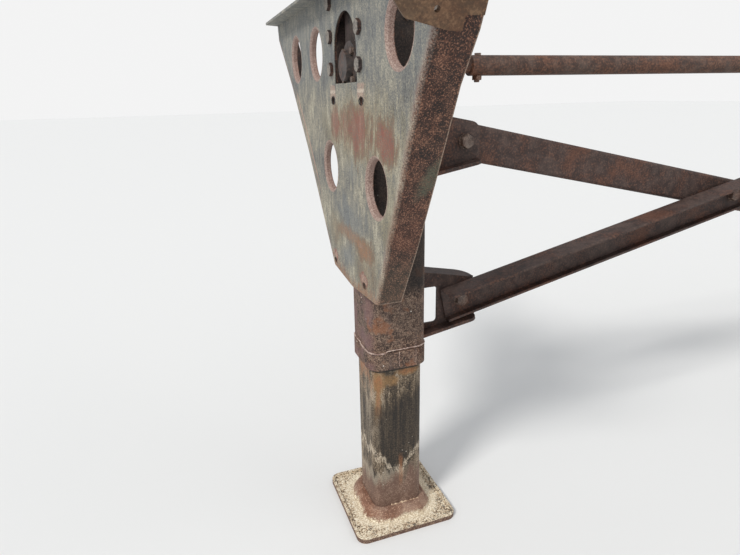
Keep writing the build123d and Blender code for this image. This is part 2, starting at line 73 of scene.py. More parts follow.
def linear(colour: Colour) -> Spot:
    """Turn a colour as a screen shows it into the linear values that shaders use.

    Args:
        colour: its red, green and blue parts, 0 to 255.

    Returns:
        The three linear parts, each 0 to 1.
    """
    parts = [value / 255 for value in colour]
    return tuple(part / 12.92 if part <= 0.04045 else ((part + 0.055) / 1.055) ** 2.4 for part in parts)


def operator(operation: str, swapped: bool = False) -> Callable[["Shade", Number], "Shade"]:
    """Make an operator for the class below.

    Args:
        operation: the Math node's operation.
        swapped: whether the plain number comes first, as in a reflected form.

    Returns:
        The operator's method.
    """

    def apply(shade: "Shade", other: Number) -> "Shade":
        """Add the Math node."""
        return shade.tree.math(operation, *((other, shade) if swapped else (shade, other)))

    return apply


class Shade:
    """A number that varies over a surface. Python's operators on it add the matching Math nodes.

    Two masks join by |, which takes the larger value, and overlap by &, which takes the smaller.
    """

    __add__ = __radd__ = operator("ADD")
    __mul__ = __rmul__ = operator("MULTIPLY")
    __or__ = __ror__ = operator("MAXIMUM")
    __and__ = __rand__ = operator("MINIMUM")
    __sub__ = operator("SUBTRACT")
    __rsub__ = operator("SUBTRACT", swapped=True)
    __truediv__ = operator("DIVIDE")
    __rtruediv__ = operator("DIVIDE", swapped=True)
    __pow__ = operator("POWER")
    __rpow__ = operator("POWER", swapped=True)

    def __init__(self, tree: "Tree", socket: Link) -> None:
        """Wrap one output socket of a node tree."""
        self.tree = tree
        self.socket = socket

    def __abs__(self) -> "Shade":
        """This value without its sign."""
        return self.tree.math("ABSOLUTE", self)

    def rises(self, low: float, high: float) -> "Shade":
        """Smooth step of this value.

        Args:
            low: where the step starts.
            high: where the step ends, below low for a falling step.

        Returns:
            0 before the step, 1 after it, smooth between.
        """
        start, end, first, last = (low, high, 0.0, 1.0) if low < high else (high, low, 1.0, 0.0)
        sockets = {"Value": self, "From Min": start, "From Max": end, "To Min": first, "To Max": last}
        node = self.tree.node("ShaderNodeMapRange", {"interpolation_type": "SMOOTHSTEP"}, sockets)
        return Shade(self.tree, node.outputs[0])

    def near(self, middle: float, reach: float, soft: float) -> "Shade":
        """Mask of a band: 1 within reach of its middle, fading to 0 over the soft width outside it."""
        return abs(self - middle).rises(reach + soft, reach)


@dataclass(frozen=True)
class Place:
    """Where a point of a surface lies: itself, its Y and Z, and its X mirrored to the kerb side."""

    point: Link
    y: Shade
    z: Shade
    kerb: Shade


class Tree:
    """The nodes of one material or world."""

    def __init__(self, owner: bpy.types.ID) -> None:
        """Start without nodes.

        Args:
            owner: the material or world.
        """
        self.owner = owner
        owner.use_nodes = True
        self.nodes = owner.node_tree.nodes
        self.links = owner.node_tree.links
        self.nodes.clear()

    def node(self, kind: str, settings: dict, sockets: dict) -> bpy.types.Node:
        """Add any node.

        Args:
            kind: the node's type.
            settings: its own settings, and a ramp's stops under the key "stops".
            sockets: values or links for its inputs, by name or number. Three numbers for a colour are as on a
                screen, 0 to 255, and four are linear.

        Returns:
            The new node.
        """
        node = self.nodes.new(kind)
        for key, value in settings.items():
            if key != "stops":
                setattr(node, key, value)
        for step, (position, colour) in enumerate(settings.get("stops", ())):
            marks = node.color_ramp.elements
            stop = marks[step] if step < 2 else marks.new(position)
            stop.position, stop.color = position, (*linear(colour), 1.0)
        for key, value in sockets.items():
            value = value.socket if isinstance(value, Shade) else value
            if isinstance(value, Link):
                self.links.new(value, node.inputs[key])
            elif isinstance(value, tuple) and len(value) == 3 and len(node.inputs[key].default_value) == 4:
                node.inputs[key].default_value = (*linear(value), 1.0)
            else:
                node.inputs[key].default_value = value
        return node

    def math(self, operation: str, *values: Number) -> Shade:
        """Add a Math node for one or two values."""
        node = self.node("ShaderNodeMath", {"operation": operation}, dict(enumerate(values)))
        return Shade(self, node.outputs[0])

    def place(self) -> Place:
        """Read where the shaded point lies, from Object coordinates.

        Returns:
            The point and its parts.
        """
        point = self.node("ShaderNodeTexCoord", {}, {}).outputs["Object"]
        parts = self.node("ShaderNodeSeparateXYZ", {}, {0: point}).outputs
        x, y, z = (Shade(self, part) for part in parts)
        return Place(point, y, z, SPACING / 2 - abs(x - SPACING / 2))

    def noise(self, place: Place, scale: float, detail: float, rough: float, tall: float = 1.0) -> Shade:
        """Cloudy noise, 0 to 1 about a middle of 0.5.

        Args:
            place: the shaded point.
            scale: clouds per metre.
            detail: how many finer layers it has.
            rough: how strong the finer layers are.
            tall: factor on the height that it is read at, below 1 to draw the clouds out upright.

        Returns:
            The noise.
        """
        where = place.point
        if tall != 1.0:
            sockets = {0: where, 1: (1.0, 1.0, tall)}
            where = self.node("ShaderNodeVectorMath", {"operation": "MULTIPLY"}, sockets).outputs[0]
        sockets = {"Vector": where, "Scale": scale, "Detail": detail, "Roughness": rough}
        return Shade(self, self.node("ShaderNodeTexNoise", {}, sockets).outputs[0])

    def grains(self, place: Place, scale: float) -> Shade:
        """Distance to the nearest of scattered grains, 0 at a grain's middle."""
        node = self.node("ShaderNodeTexVoronoi", {}, {"Vector": place.point, "Scale": scale})
        return Shade(self, node.outputs["Distance"])

    def ramp(self, value: Shade, *stops: tuple[float, Colour]) -> Link:
        """Turn a value into a colour through a row of colour stops."""
        return self.node("ShaderNodeValToRGB", {"stops": stops}, {"Fac": value}).outputs["Color"]

    def blend(self, mask: Number, under: Paint, over: Paint) -> Link:
        """Mix two colours: a mask of 0 shows the lower one, 1 the upper one."""
        return self.node("ShaderNodeMix", {"data_type": "RGBA"}, {0: mask, 6: under, 7: over}).outputs[2]

    def coats(self, under: Paint, *layers: tuple[Number, Paint]) -> Link:
        """Lay colours over one another.

        Args:
            under: the lowest colour.
            layers: a mask and a colour for each coat, from the lowest up.

        Returns:
            The mixed colour.
        """
        for mask, over in layers:
            under = self.blend(mask, under, over)
        return under

    def finish(self, colour: Link, rough: Number, metal: float, height: Shade, depth: float) -> Material:
        """Close the material with a Principled shader and a bump.

        Args:
            colour: the surface's colour.
            rough: its roughness.
            metal: how metallic it is.
            height: relief, 0 to 1.
            depth: what that relief measures, in metres.

        Returns:
            The finished material.
        """
        bump = self.node("ShaderNodeBump", {}, {"Height": height, "Distance": depth, "Strength": 1.0})
        sockets = {"Base Color": colour, "Roughness": rough, "Metallic": metal, "Normal": bump.outputs[0]}
        shader = self.node("ShaderNodeBsdfPrincipled", {}, sockets)
        self.node("ShaderNodeOutputMaterial", {}, {"Surface": shader.outputs[0]})
        return self.owner


def start(name: str) -> tuple[Tree, Place]:
    """Begin a new material: its nodes and the shaded point."""
    tree = Tree(bpy.data.materials.new(name))
    return tree, tree.place()


def square_distance(place: Place, half: float, corner: float) -> Shade:
    """Distance from a leg's rounded square outline, negative inside it.

    The distance is the length of the two parts by which the point passes the corner's centre, less the
    corner's radius.

    Args:
        place: the shaded point.
        half: half the square's side.
        corner: its corner radius.

    Returns:
        The distance in metres.
    """
    past_x = (abs(place.kerb) - (half - corner)) | 0.0
    past_y = (abs(place.y) - (half - corner)) | 0.0
    return (past_x * past_x + past_y * past_y) ** 0.5 - corner


def oval(across: Shade, up: Shade, middle: Spot, half: Spot) -> Shade:
    """Distance from an oval's middle, 1 on its outline.

    Args:
        across: the point's place across the face.
        up: its height.
        middle: the oval's middle across and up.
        half: its half sizes.

    Returns:
        The root of the summed squares of both distances, each divided by its half size.
    """
    beside = (across - middle[0]) / half[0]
    above = (up - middle[1]) / half[1]
    return (beside * beside + above * above) ** 0.5


@dataclass(frozen=True)
class GrainyRust:
    """Rust with pale grains, darker clouds and a greyish film, as on bare steel that has stood outside."""

    name: str
    dark: Colour
    brown: Colour
    film: Colour
    grain: Colour
    grain_share: float = 0.30
    film_share: float = 0.45
    grain_scale: float = 210.0
    rough: float = 0.78
    depth: float = 0.0012
    warm: Colour = (142, 84, 50)
    warm_share: float = 0.25

    def colour(self, tree: Tree, place: Place) -> tuple[Link, Shade]:
        """Work out the rust's colour and relief.

        Args:
            tree: the material's nodes.
            place: the shaded point.

        Returns:
            The colour and the height.
        """
        clouds = tree.noise(place, 9.0, 4.0, 0.6)
        mottle = tree.noise(place, 46.0, 4.0, 0.62)
        fine = tree.noise(place, self.grain_scale, 2.0, 0.6)
        colour = tree.coats(
            tree.blend((mottle * 0.5 + fine * 0.5).rises(0.40, 0.60), self.dark, self.brown),
            ((clouds * 0.6 + mottle * 0.4).rises(0.44, 0.62) * self.film_share, self.film),
            ((1 - clouds + fine * 0.5).rises(0.72, 0.95) * self.warm_share, self.warm),
            ((fine * 0.78 + mottle * 0.22).rises(0.53, 0.64) * self.grain_share, self.grain),
        )
        return colour, fine * 0.55 + mottle * 0.45

    def material(self) -> Material:
        """Build the whole finish.

        Returns:
            The material.
        """
        tree, place = start(self.name)
        colour, height = self.colour(tree, place)
        return tree.finish(colour, self.rough + (height - 0.5) * 0.25, 0.0, height, self.depth)


@dataclass(frozen=True)
class Stain:
    """A ragged patch.

    It has a middle and half sizes, across and up, colours of its core and fringe with their strength, and the
    strength of a pale dried rim.
    """

    middle: Spot
    half: Spot
    core: Colour
    fringe: Colour
    strength: float
    rim: float = 0.0
    dried: Colour = (178, 168, 144)

    def lay(self, tree: Tree, across: Shade, up: Shade, ragged: Shade, broken: Shade, under: Link) -> Link:
        """Lay the patch over a colour: fringe and core follow an oval distance, broken up by a ragged noise.

        Args:
            tree: the material's nodes.
            across: the point's place across the face.
            up: its height.
            ragged: noise about 0.5 that frays the patch.
            broken: how much of it is left at each point, 0 to 1.
            under: the colour it lies on.

        Returns:
            The colour with the patch.
        """
        reach = oval(across, up, self.middle, self.half) + (ragged - 0.5) * 5.0
        if self.rim:
            under = tree.blend(reach.near(1.24, 0.06, 0.16) * broken * self.rim, under, self.dried)
        left = broken * self.strength
        return tree.coats(
            under, (reach.rises(1.28, 0.98) * left, self.fringe), (reach.rises(0.88, 0.50) * left, self.core)
        )


@dataclass(frozen=True)
class WingSheet:
    """Weathered grey sheet with run marks, rust stains, speckled rusty flanges and painted shade on its
    inside.
    """

    name: str = "wing_sheet_weathered"
    iron: Colour = (84, 82, 78)
    slate: Colour = (114, 114, 110)
    stone: Colour = (136, 130, 115)
    chalk: Colour = (176, 169, 150)
    # blue is the colour of the blue grey stains and also the painted shade tint of the upper web
    blue: Colour = (112, 118, 122)
    olive: Colour = (130, 121, 96)
    red: Colour = (134, 82, 68)
    tan: Colour = (124, 101, 78)
    rust: Colour = (146, 104, 74)
    pink: Colour = (172, 142, 126)
    pale: Colour = (216, 202, 184)
    moss: Colour = (88, 88, 72)
    # inside is the near black of painted shade, on the inner faces, the bores and round the open holes
    inside: Colour = (38, 30, 27)
    # worn is the pale of the flanges' cut edges, partly wear and partly a painted highlight
    worn: Colour = (168, 146, 128)
    holes: tuple[Spot, ...] = (
        (-0.166, 0.852), (0.134, 0.861), (-0.278, 1.108), (0.223, 1.108), (0.429, 1.109),
    )
    open_bolt_z: float = 1.0060
    low_holes: Spot = (-0.085, 0.1255)
    low_hole_z: float = 0.636
    flange: GrainyRust = GrainyRust(
        "wing_flange_rust", (34, 24, 20), (88, 58, 46), (82, 62, 50), (166, 122, 97), 0.68, 0.36, 420.0,
        warm=(132, 78, 54),
    )

    def stains(self) -> list[Stain]:
        """The patches seen in the photograph.

        Returns:
            The patches, lowest first.
        """
        scar_z = self.low_hole_z + 0.014
        return [
            Stain((0.010, 0.765), (0.110, 0.050), self.blue, self.slate, 0.50),
            Stain((0.015, 0.675), (0.070, 0.030), self.blue, self.slate, 0.50),
            Stain((-0.030, 0.880), (0.070, 0.035), self.blue, self.slate, 0.45),
            Stain((-0.110, 0.665), (0.090, 0.060), self.tan, self.olive, 0.50),
            Stain((0.110, 0.715), (0.050, 0.045), self.tan, self.olive, 0.50),
            Stain((-0.225, 0.800), (0.050, 0.070), self.olive, self.olive, 0.45),
            Stain((-0.060, 0.946), (0.215, 0.060), self.tan, self.olive, 0.60, 0.30),
            Stain((0.074, 0.955), (0.040, 0.038), self.red, self.tan, 0.90, 0.40),
            Stain((0.012, 0.958), (0.030, 0.034), self.red, self.tan, 0.75, 0.40),
            Stain((-0.070, 0.952), (0.058, 0.052), self.red, self.tan, 0.98, 0.40),
            Stain((-0.212, 0.937), (0.058, 0.036), self.red, self.tan, 0.98, 0.40),
            Stain((-0.093, 0.713), (0.050, 0.022), self.rust, self.tan, 0.85, 0.30),
            Stain((-0.066, 0.720), (0.018, 0.008), self.pink, self.rust, 0.60),
            Stain((0.010, 0.727), (0.100, 0.016), self.rust, self.tan, 0.55),
            *(Stain((y, scar_z), (0.020, 0.013), self.pink, self.red, 0.90) for y in self.low_holes),
        ]

    def within(self, place: Place, points: tuple[Spot, ...]) -> Shade:
        """How far a point lies left of the lines through a bulging row of points.

        Args:
            place: the shaded point.
            points: Y and Z of the row's points.

        Returns:
            The smallest of the distances from the lines.
        """
        reaches = []
        for (y0, z0), (y1, z1) in zip(points[:-1], points[1:]):
            run = math.hypot(y1 - y0, z1 - z0)
            reaches.append((place.y - y0) * (-(z1 - z0) / run) + (place.z - z0) * ((y1 - y0) / run))
        return reduce(Shade.__and__, reaches)

    def edges(self, place: Place) -> tuple[Shade, Shade, Shade]:
        """Distances inside the plate's edges. Where an edge caves in, the larger one counts.

        Args:
            place: the shaded point.

        Returns:
            The distances from the front, rear and lower edge.
        """
        front = self.within(place, FRONT_EDGE[:3]) | self.within(place, FRONT_EDGE[2:])
        rear = self.within(place, REAR_EDGE[:2]) | self.within(place, REAR_EDGE[1:3])
        rear = (rear | self.within(place, REAR_EDGE[2:4])) & self.within(place, REAR_EDGE[3:])
        return front, rear, self.within(place, LOW_EDGE)

    def flange_ends(self, place: Place, low: Shade) -> Shade:
        """Mask of the cut edges of the front and rear flanges.

        A flange's reach is a bent line over the height: the smaller of two straight lines in front and the
        larger of two behind.

        Args:
            place: the shaded point.
            low: distance above the plate's lower edge.

        Returns:
            1 along the flanges' inboard edges and lower ends.
        """
        inboard = place.kerb - WEB_X
        front = inboard - ((place.z * 0.0533 + 0.0200) & (place.z * 0.0211 + 0.0442))
        rear = inboard - ((place.z * 0.0160 + 0.0304) | (place.z * 0.0429 + 0.0075))
        beyond = front * place.y.rises(0.001, -0.001) + rear * place.y.rises(-0.001, 0.001)
        return beyond.rises(-0.0026, -0.0008) | low.rises(0.0028, 0.0008)

    def material(self) -> Material:
        """Build the finish.

        Returns:
            The material.
        """
        tree, place = start(self.name)
        streaks = tree.noise(place, 120.0, 6.0, 0.72, 0.20)
        blotch = tree.noise(place, 30.0, 6.0, 0.66, 0.55)
        clouds = tree.noise(place, 7.0, 3.0, 0.5)
        fine = tree.noise(place, 430.0, 2.0, 0.6)
        hanging = tree.noise(place, 90.0, 4.0, 0.70, 0.20)
        tone = streaks * 0.28 + blotch * 0.28 + fine * 0.28 + clouds * 0.16
        ragged = hanging * 0.55 + blotch * 0.45
        broken = 0.34 + (hanging * 0.45 + fine * 0.55).rises(0.44, 0.53) * 0.66
        grainy = fine.rises(0.42, 0.56)
        frayed, blotted = fine - 0.5, blotch - 0.5
        greys = ((0.42, self.iron), (0.478, self.slate), (0.522, self.stone), (0.58, self.chalk))
        # painted shade: above about z 1.0 the web is blended toward a darker blue grey, the tint of shade
        # under the trailer
        colour = tree.blend(place.z.rises(0.98, 1.10) * 0.40, tree.ramp(tone, *greys), self.blue)
        for patch in self.stains():
            colour = patch.lay(tree, place.y, place.z, ragged, broken, colour)
        # pale red scars above the open bolt holes with a bright band across, and what runs down from them
        column = abs(place.y) + (ragged - 0.5) * 0.010
        scar = column.near(BOLT_COLUMN, 0.017, 0.005) * place.z.near(1.0235, 0.0120, 0.0040)
        band = scar * (place.z + frayed * 0.010).near(1.0240, 0.0018, 0.0030)
        run = column.near(BOLT_COLUMN, 0.009, 0.008) * place.z.rises(0.88, 0.99) * place.z.rises(1.02, 1.00)
        # painted shade: a dark ragged mouth round each open bolt hole and each low hole, wider than the hole
        # itself
        hole_shade_mask = oval(column, place.z, (BOLT_COLUMN, self.open_bolt_z), (0.0165, 0.0088)) + blotted * 1.6
        for y in self.low_holes:
            hole = oval(place.y, place.z, (y, self.low_hole_z), (0.0120, 0.0072))
            hole_shade_mask = hole_shade_mask & (hole + blotted * 1.2)
        # a pale crease along the rear bend, rust that climbs from the lower edge, and grit all over
        front, rear, low = self.edges(place)
        crease = (rear + (hanging - 0.5) * 0.004).near(0.034, 0.0032, 0.0030)
        crease = crease * place.z.rises(1.05, 1.00) * place.z.rises(0.74, 0.86)
        grit = fine * 0.65 + blotch * 0.35
        colour = tree.coats(
            colour,
            (scar * broken * 0.75 | run * hanging.rises(0.46, 0.60) * 0.5, self.pink),
            (band * 0.5, self.pale),
            (hole_shade_mask.rises(1.10, 0.85), self.inside),
            (crease * 0.8, self.pink),
            ((low + (ragged - 0.5) * 0.12).rises(0.032, 0.004) * broken * 0.85, self.rust),
            (grit.rises(0.55, 0.63) * 0.40, self.chalk),
            (grit.rises(0.46, 0.39) * 0.45, self.iron),
        )
        # beyond the bend the sheet is rusty brown, with one worn green patch, and its cut edges are pale from
        # wear and a painted highlight
        rusty, relief = self.flange.colour(tree, place)
        mossy = (place.z - place.kerb * 0.9 + blotted * 0.05).near(0.915, 0.014, 0.018)
        mossy = mossy * place.kerb.rises(-0.066, -0.040)
        cut = self.flange_ends(place, low) * place.kerb.rises(-0.0830, -0.0790)
        rusty = tree.coats(
            rusty,
            (place.z.rises(0.77, 0.66) * 0.20, self.moss),
            (mossy * (0.35 + grainy * 0.6), self.moss),
            (cut * (0.30 + grainy * 0.55), self.worn),
        )
        # that rust creeps onto the web and the holes' lips are pale and speckled; the bores and the inner
        # faces are half darkened as painted shade
        edge = front & rear
        creeping = edge + frayed * 0.026 + blotted * 0.018
        inner_shade_mask = (edge & low).rises(0.0032, 0.0044) * place.kerb.rises(-0.0858, -0.0848)
        rings = []
        for y, z in self.holes:
            beside, above = place.y - y, place.z - z
            rings.append(((beside * beside + above * above) ** 0.5).rises(0.0605, 0.0585))
        rim = reduce(Shade.__or__, rings)
        lip = tree.blend(fine.rises(0.40, 0.62) * 0.7, (140, 112, 102), (196, 172, 160))
        colour = tree.coats(
            colour,
            (creeping.rises(0.020, 0.000) * 0.45, self.pink),
            (creeping.rises(0.011, -0.005) | place.kerb.rises(-0.0862, -0.0790), rusty),
            (inner_shade_mask * (1 - rim), tree.blend(0.50, rusty, self.inside)),
            (rim * place.kerb.rises(-0.0725, -0.0740) * (0.6 + 0.4 * ragged), lip),
        )
        height = streaks * 0.2 + fine * 0.4 + relief * 0.4
        return tree.finish(colour, 0.60 + ragged * 0.25, 0.05, height, 0.0010)


@dataclass(frozen=True)
class SlidingTube:
    """The inner tube: wipe marks and grease, orange rust under the collar, dust and brown steel below."""

    name: str = "inner_tube_greasy"
    grease: Colour = (34, 29, 25)
    dull: Colour = (74, 62, 48)
    wiped: Colour = (120, 104, 85)
    pale: Colour = (176, 162, 142)
    orange: Colour = (150, 98, 62)
    ochre: Colour = (146, 112, 72)
    dust: Colour = (186, 172, 152)
    brown: Colour = (104, 79, 67)

    def blooms(self) -> list[Stain]:
        """The rust patches on the front face, seen in the photograph.

        Returns:
            One stain for each patch.
        """
        return [
            Stain((-0.050, 0.386), (0.014, 0.028), self.orange, self.ochre, 0.85),
            Stain((-0.051, 0.330), (0.006, 0.055), self.orange, self.ochre, 0.70),
            Stain((-0.018, 0.386), (0.018, 0.012), self.ochre, self.ochre, 0.75),
            Stain((0.022, 0.405), (0.028, 0.010), self.orange, self.ochre, 0.80),
            Stain((-0.002, 0.200), (0.004, 0.100), self.ochre, self.brown, 0.35),
        ]

    def material(self) -> Material:
        """Build the finish.

        Returns:
            The material.
        """
        tree, place = start(self.name)
        stripes = tree.noise(place, 110.0, 4.0, 0.65, 0.05)
        wide = tree.noise(place, 26.0, 4.0, 0.55, 0.12)
        blot = tree.noise(place, 42.0, 6.0, 0.70, 0.50)
        fine = tree.noise(place, 400.0, 2.0, 0.6)
        fringe = tree.noise(place, 46.0, 4.0, 0.66, 0.22) - 0.5
        side = place.kerb.rises(-0.046, -0.060)
        fore = place.y.rises(-0.045, -0.055)
        grainy = fine * 0.5 + blot * 0.5
        ragged = blot * 0.7 + fine * 0.3
        speckled = 0.35 + grainy.rises(0.44, 0.56) * 0.65
        tone = stripes * 0.26 + wide * 0.22 + blot * 0.26 + fine * 0.26 - fore * 0.020
        browns = ((0.42, self.grease), (0.475, self.dull), (0.515, self.wiped), (0.58, self.pale))
        colour = tree.ramp(tone, *browns)
        for bloom in self.blooms():
            colour = tree.blend(fore, colour, bloom.lay(tree, place.kerb, place.z, ragged, speckled, colour))
        spots = (place.z.rises(0.28, 0.42) * 0.16 + ragged).rises(0.62, 0.72) * (1 - fore)
        # the middle of the stroke is dark with grease, and its borders slant and fray
        upper = 0.336 + place.kerb * 0.40 - place.z + fringe * 0.16
        lower = place.z - 0.140 - abs(place.kerb + 0.005) + fringe * 0.14
        cover = (lower & upper) + (grainy - 0.5) * 0.10
        film = tree.blend((stripes * 0.5 + fine * 0.5).rises(0.44, 0.60) * 0.8, self.grease, self.dull)
        # below it dust, then brown steel with one rust streak and pale drops
        dusty = (place.z + fringe * 0.16).near(0.112, 0.010, 0.022)
        dusty = dusty * (0.35 + place.kerb.rises(0.020, -0.030) * 0.65)
        steel = tree.blend((fine * 0.6 + blot * 0.4).rises(0.46, 0.60) * 0.7, self.brown, (158, 132, 114))
        streak = (place.kerb + fringe * 0.012).near(0.004, 0.003, 0.005) * place.z.near(0.134, 0.028, 0.026)
        drops = tree.grains(place, 58.0).rises(0.110, 0.060) * wide.rises(0.50, 0.54)
        colour = tree.coats(
            colour,
            (spots * 0.7, self.orange),
            (lower.near(-0.011, 0.004, 0.010) * grainy.rises(0.42, 0.54), self.dust),
            (cover.rises(-0.010, 0.014) * (0.90 - side * 0.50), film),
            (dusty * (0.15 + fine * 0.6), self.dust),
            ((place.z - place.kerb * 0.30 + fringe * 0.14).rises(0.136, 0.098), steel),
            (streak * fore * speckled * 0.55, self.orange),
            (drops * place.z.rises(0.36, 0.10), (226, 214, 198)),
        )
        # what the outer tube covers at rest is wiped with fresh grease; the dark ring at its lower end is
        # grease and painted shadow of the gap under the collar
        grease_and_painted_shadow = tree.blend(place.z.rises(0.4150, 0.4300), self.grease, tree.blend(0.35, film, colour))
        colour = tree.blend(place.z.rises(0.4095, 0.4130) * 0.9, colour, grease_and_painted_shadow)
        height = stripes * 0.25 + fine * 0.4 + blot * 0.35
        return tree.finish(colour, 0.48 + 0.35 * blot, 0.10, height, 0.0010)


@dataclass(frozen=True)
class DustyFoot:
    """The foot: sandy grit on the plate, red-brown rust on the socket and a dark rim."""

    name: str = "foot_dusty"
    sand: Colour = (212, 194, 164)
    clay: Colour = (184, 158, 130)
    grit: Colour = (58, 47, 38)
    pale: Colour = (246, 236, 214)
    side: Colour = (94, 70, 60)
    rust: GrainyRust = GrainyRust(
        "socket_rust", (116, 84, 68), (148, 110, 90), (156, 134, 118), (204, 178, 152), 0.50, 0.50, 330.0
    )

    def material(self) -> Material:
        """Build the finish.

        Returns:
            The material.
        """
        tree, place = start(self.name)
        rusty, relief = self.rust.colour(tree, place)
        cloud = tree.noise(place, 30.0, 4.0, 0.6)
        clump = tree.noise(place, 110.0, 5.0, 0.7)
        speckle = tree.noise(place, 330.0, 2.0, 0.6)
        tone = clump * 0.5 + speckle * 0.5
        heaped = clump * 0.6 + cloud * 0.4 + place.kerb.rises(0.020, 0.100) * 0.030
        sand = tree.coats(
            tree.ramp(tone, (0.425, self.grit), (0.46, self.clay), (0.50, self.sand), (0.57, self.pale)),
            (cloud.rises(0.50, 0.68) * 0.4, self.clay),
            (heaped.rises(0.555, 0.60) * 0.85, self.grit),
        )
        # dust lies on the plate from the socket's foot outwards, smooth and pale where it packs against it
        around = square_distance(place, 0.090, 0.050) + (clump - 0.5) * 0.020 + (cloud - 0.5) * 0.012
        packed = tree.blend(speckle.rises(0.45, 0.60), self.sand, self.pale)
        rim = square_distance(place, 0.129, 0.024).rises(-0.0032, -0.0012) * place.z.rises(0.0120, 0.0112)
        side = tree.blend(speckle.rises(0.48, 0.62) * 0.5, self.side, self.clay)
        colour = tree.coats(
            rusty,
            (around.rises(-0.0045, -0.0005), sand),
            (around.near(0.0080, 0.0055, 0.0090) * 0.8, packed),
            (rim | place.z.rises(0.001, 0.0), side),
        )
        return tree.finish(colour, 0.88, 0.0, tone * 0.7 + relief * 0.3, 0.0018)


@dataclass(frozen=True)
class OldTube:
    """The outer tube and collar: purple-brown rust with fine pale specks and faint upright marks."""

    name: str = "outer_tube_rust"
    rust: GrainyRust = GrainyRust(
        "tube_rust", (56, 42, 36), (102, 78, 64), (116, 98, 86), (172, 148, 128), 0.55, 0.45, 380.0
    )

    def material(self) -> Material:
        """Build the finish.

        Returns:
            The material.
        """
        tree, place = start(self.name)
        rusty, relief = self.rust.colour(tree, place)
        runs = tree.noise(place, 80.0, 4.0, 0.66, 0.10)
        scale = tree.noise(place, 190.0, 5.0, 0.70)
        purple = place.kerb.rises(-0.055, -0.068) * tree.noise(place, 24.0, 4.0, 0.6).rises(0.42, 0.60)
        orange = tree.noise(place, 18.0, 5.0, 0.66).rises(0.56, 0.66)
        chance = tree.noise(place, 37.0, 2.0, 0.5).rises(0.55, 0.58)
        specks = tree.grains(place, 62.0).rises(0.115, 0.060) * chance
        # painted shade where the wing plate and trailer shade the tube: its outboard half, front and top,
        # above z 0.6
        fore = place.kerb.rises(0.076, 0.056) * place.y.rises(-0.040, -0.062) * 0.80
        painted_shade_mask = place.kerb.rises(0.0, -0.024) * 0.78 | place.z.rises(0.92, 1.02) * 0.55 | fore
        colour = tree.coats(
            rusty,
            (scale.rises(0.53, 0.62) * 0.50, (138, 118, 100)),
            (scale.rises(0.48, 0.40) * 0.65, (46, 34, 28)),
            (runs.rises(0.5, 0.68) * 0.30, (124, 104, 98)),
            (purple * 0.55, (122, 92, 92)),
            (orange * 0.55, (140, 88, 56)),
            (specks, (232, 224, 212)),
            (painted_shade_mask * place.z.rises(0.582, 0.622), (20, 16, 15)),
        )
        return tree.finish(colour, 0.82, 0.0, relief * 0.5 + scale * 0.5, 0.0014)


@dataclass(frozen=True)
class PlateBolt:
    """Bolt heads on the web: flanks dark with rust and painted shade, tops worn to the sheet's greys."""

    name: str = "plate_bolt_steel"
    top: float = WEB_X - 0.0066
    rust: GrainyRust = GrainyRust(
        "bolt_flank_rust", (30, 24, 24), (62, 48, 46), (74, 66, 64), (120, 100, 92), 0.22, 0.40, 330.0
    )

    def material(self) -> Material:
        """Build the finish.

        Returns:
            The material.
        """
        tree, place = start(self.name)
        rusty, relief = self.rust.colour(tree, place)
        worn = tree.blend(relief.rises(0.42, 0.58), (96, 90, 86), (142, 134, 124))
        # painted shade: everything below the worn top face takes the very dark rust of the flanks
        colour = tree.blend(place.kerb.rises(self.top, self.top - 0.0006), rusty, worn)
        return tree.finish(colour, 0.62, 0.1, relief, 0.0006)


@dataclass(frozen=True)
class MouldedGrip:
    """Matt black moulded grip, greyed by wear."""

    name: str = "grip_moulded"

    def material(self) -> Material:
        """Build the finish.

        Returns:
            The material.
        """
        tree, place = start(self.name)
        fine = tree.noise(place, 420.0, 2.0, 0.5)
        worn = tree.noise(place, 40.0, 4.0, 0.6)
        colour = tree.blend(worn.rises(0.5, 0.7) * 0.6, (34, 33, 34), (78, 76, 74))
        return tree.finish(colour, 0.62 + worn * 0.3, 0.0, fine, 0.0003)


@dataclass(frozen=True)
class WeldMetal:
    """Weld bead with a lighter crest."""

    name: str
    under: Colour
    crest: Colour

    def material(self) -> Material:
        """Build the finish.

        Returns:
            The material.
        """
        tree, place = start(self.name)
        fine = tree.noise(place, 240.0, 3.0, 0.6)
        broad = tree.noise(place, 38.0, 3.0, 0.6)
        colour = tree.blend((fine * 0.5 + broad * 0.5).rises(0.42, 0.58), self.under, self.crest)
        return tree.finish(colour, 0.7, 0.1, fine, 0.0004)


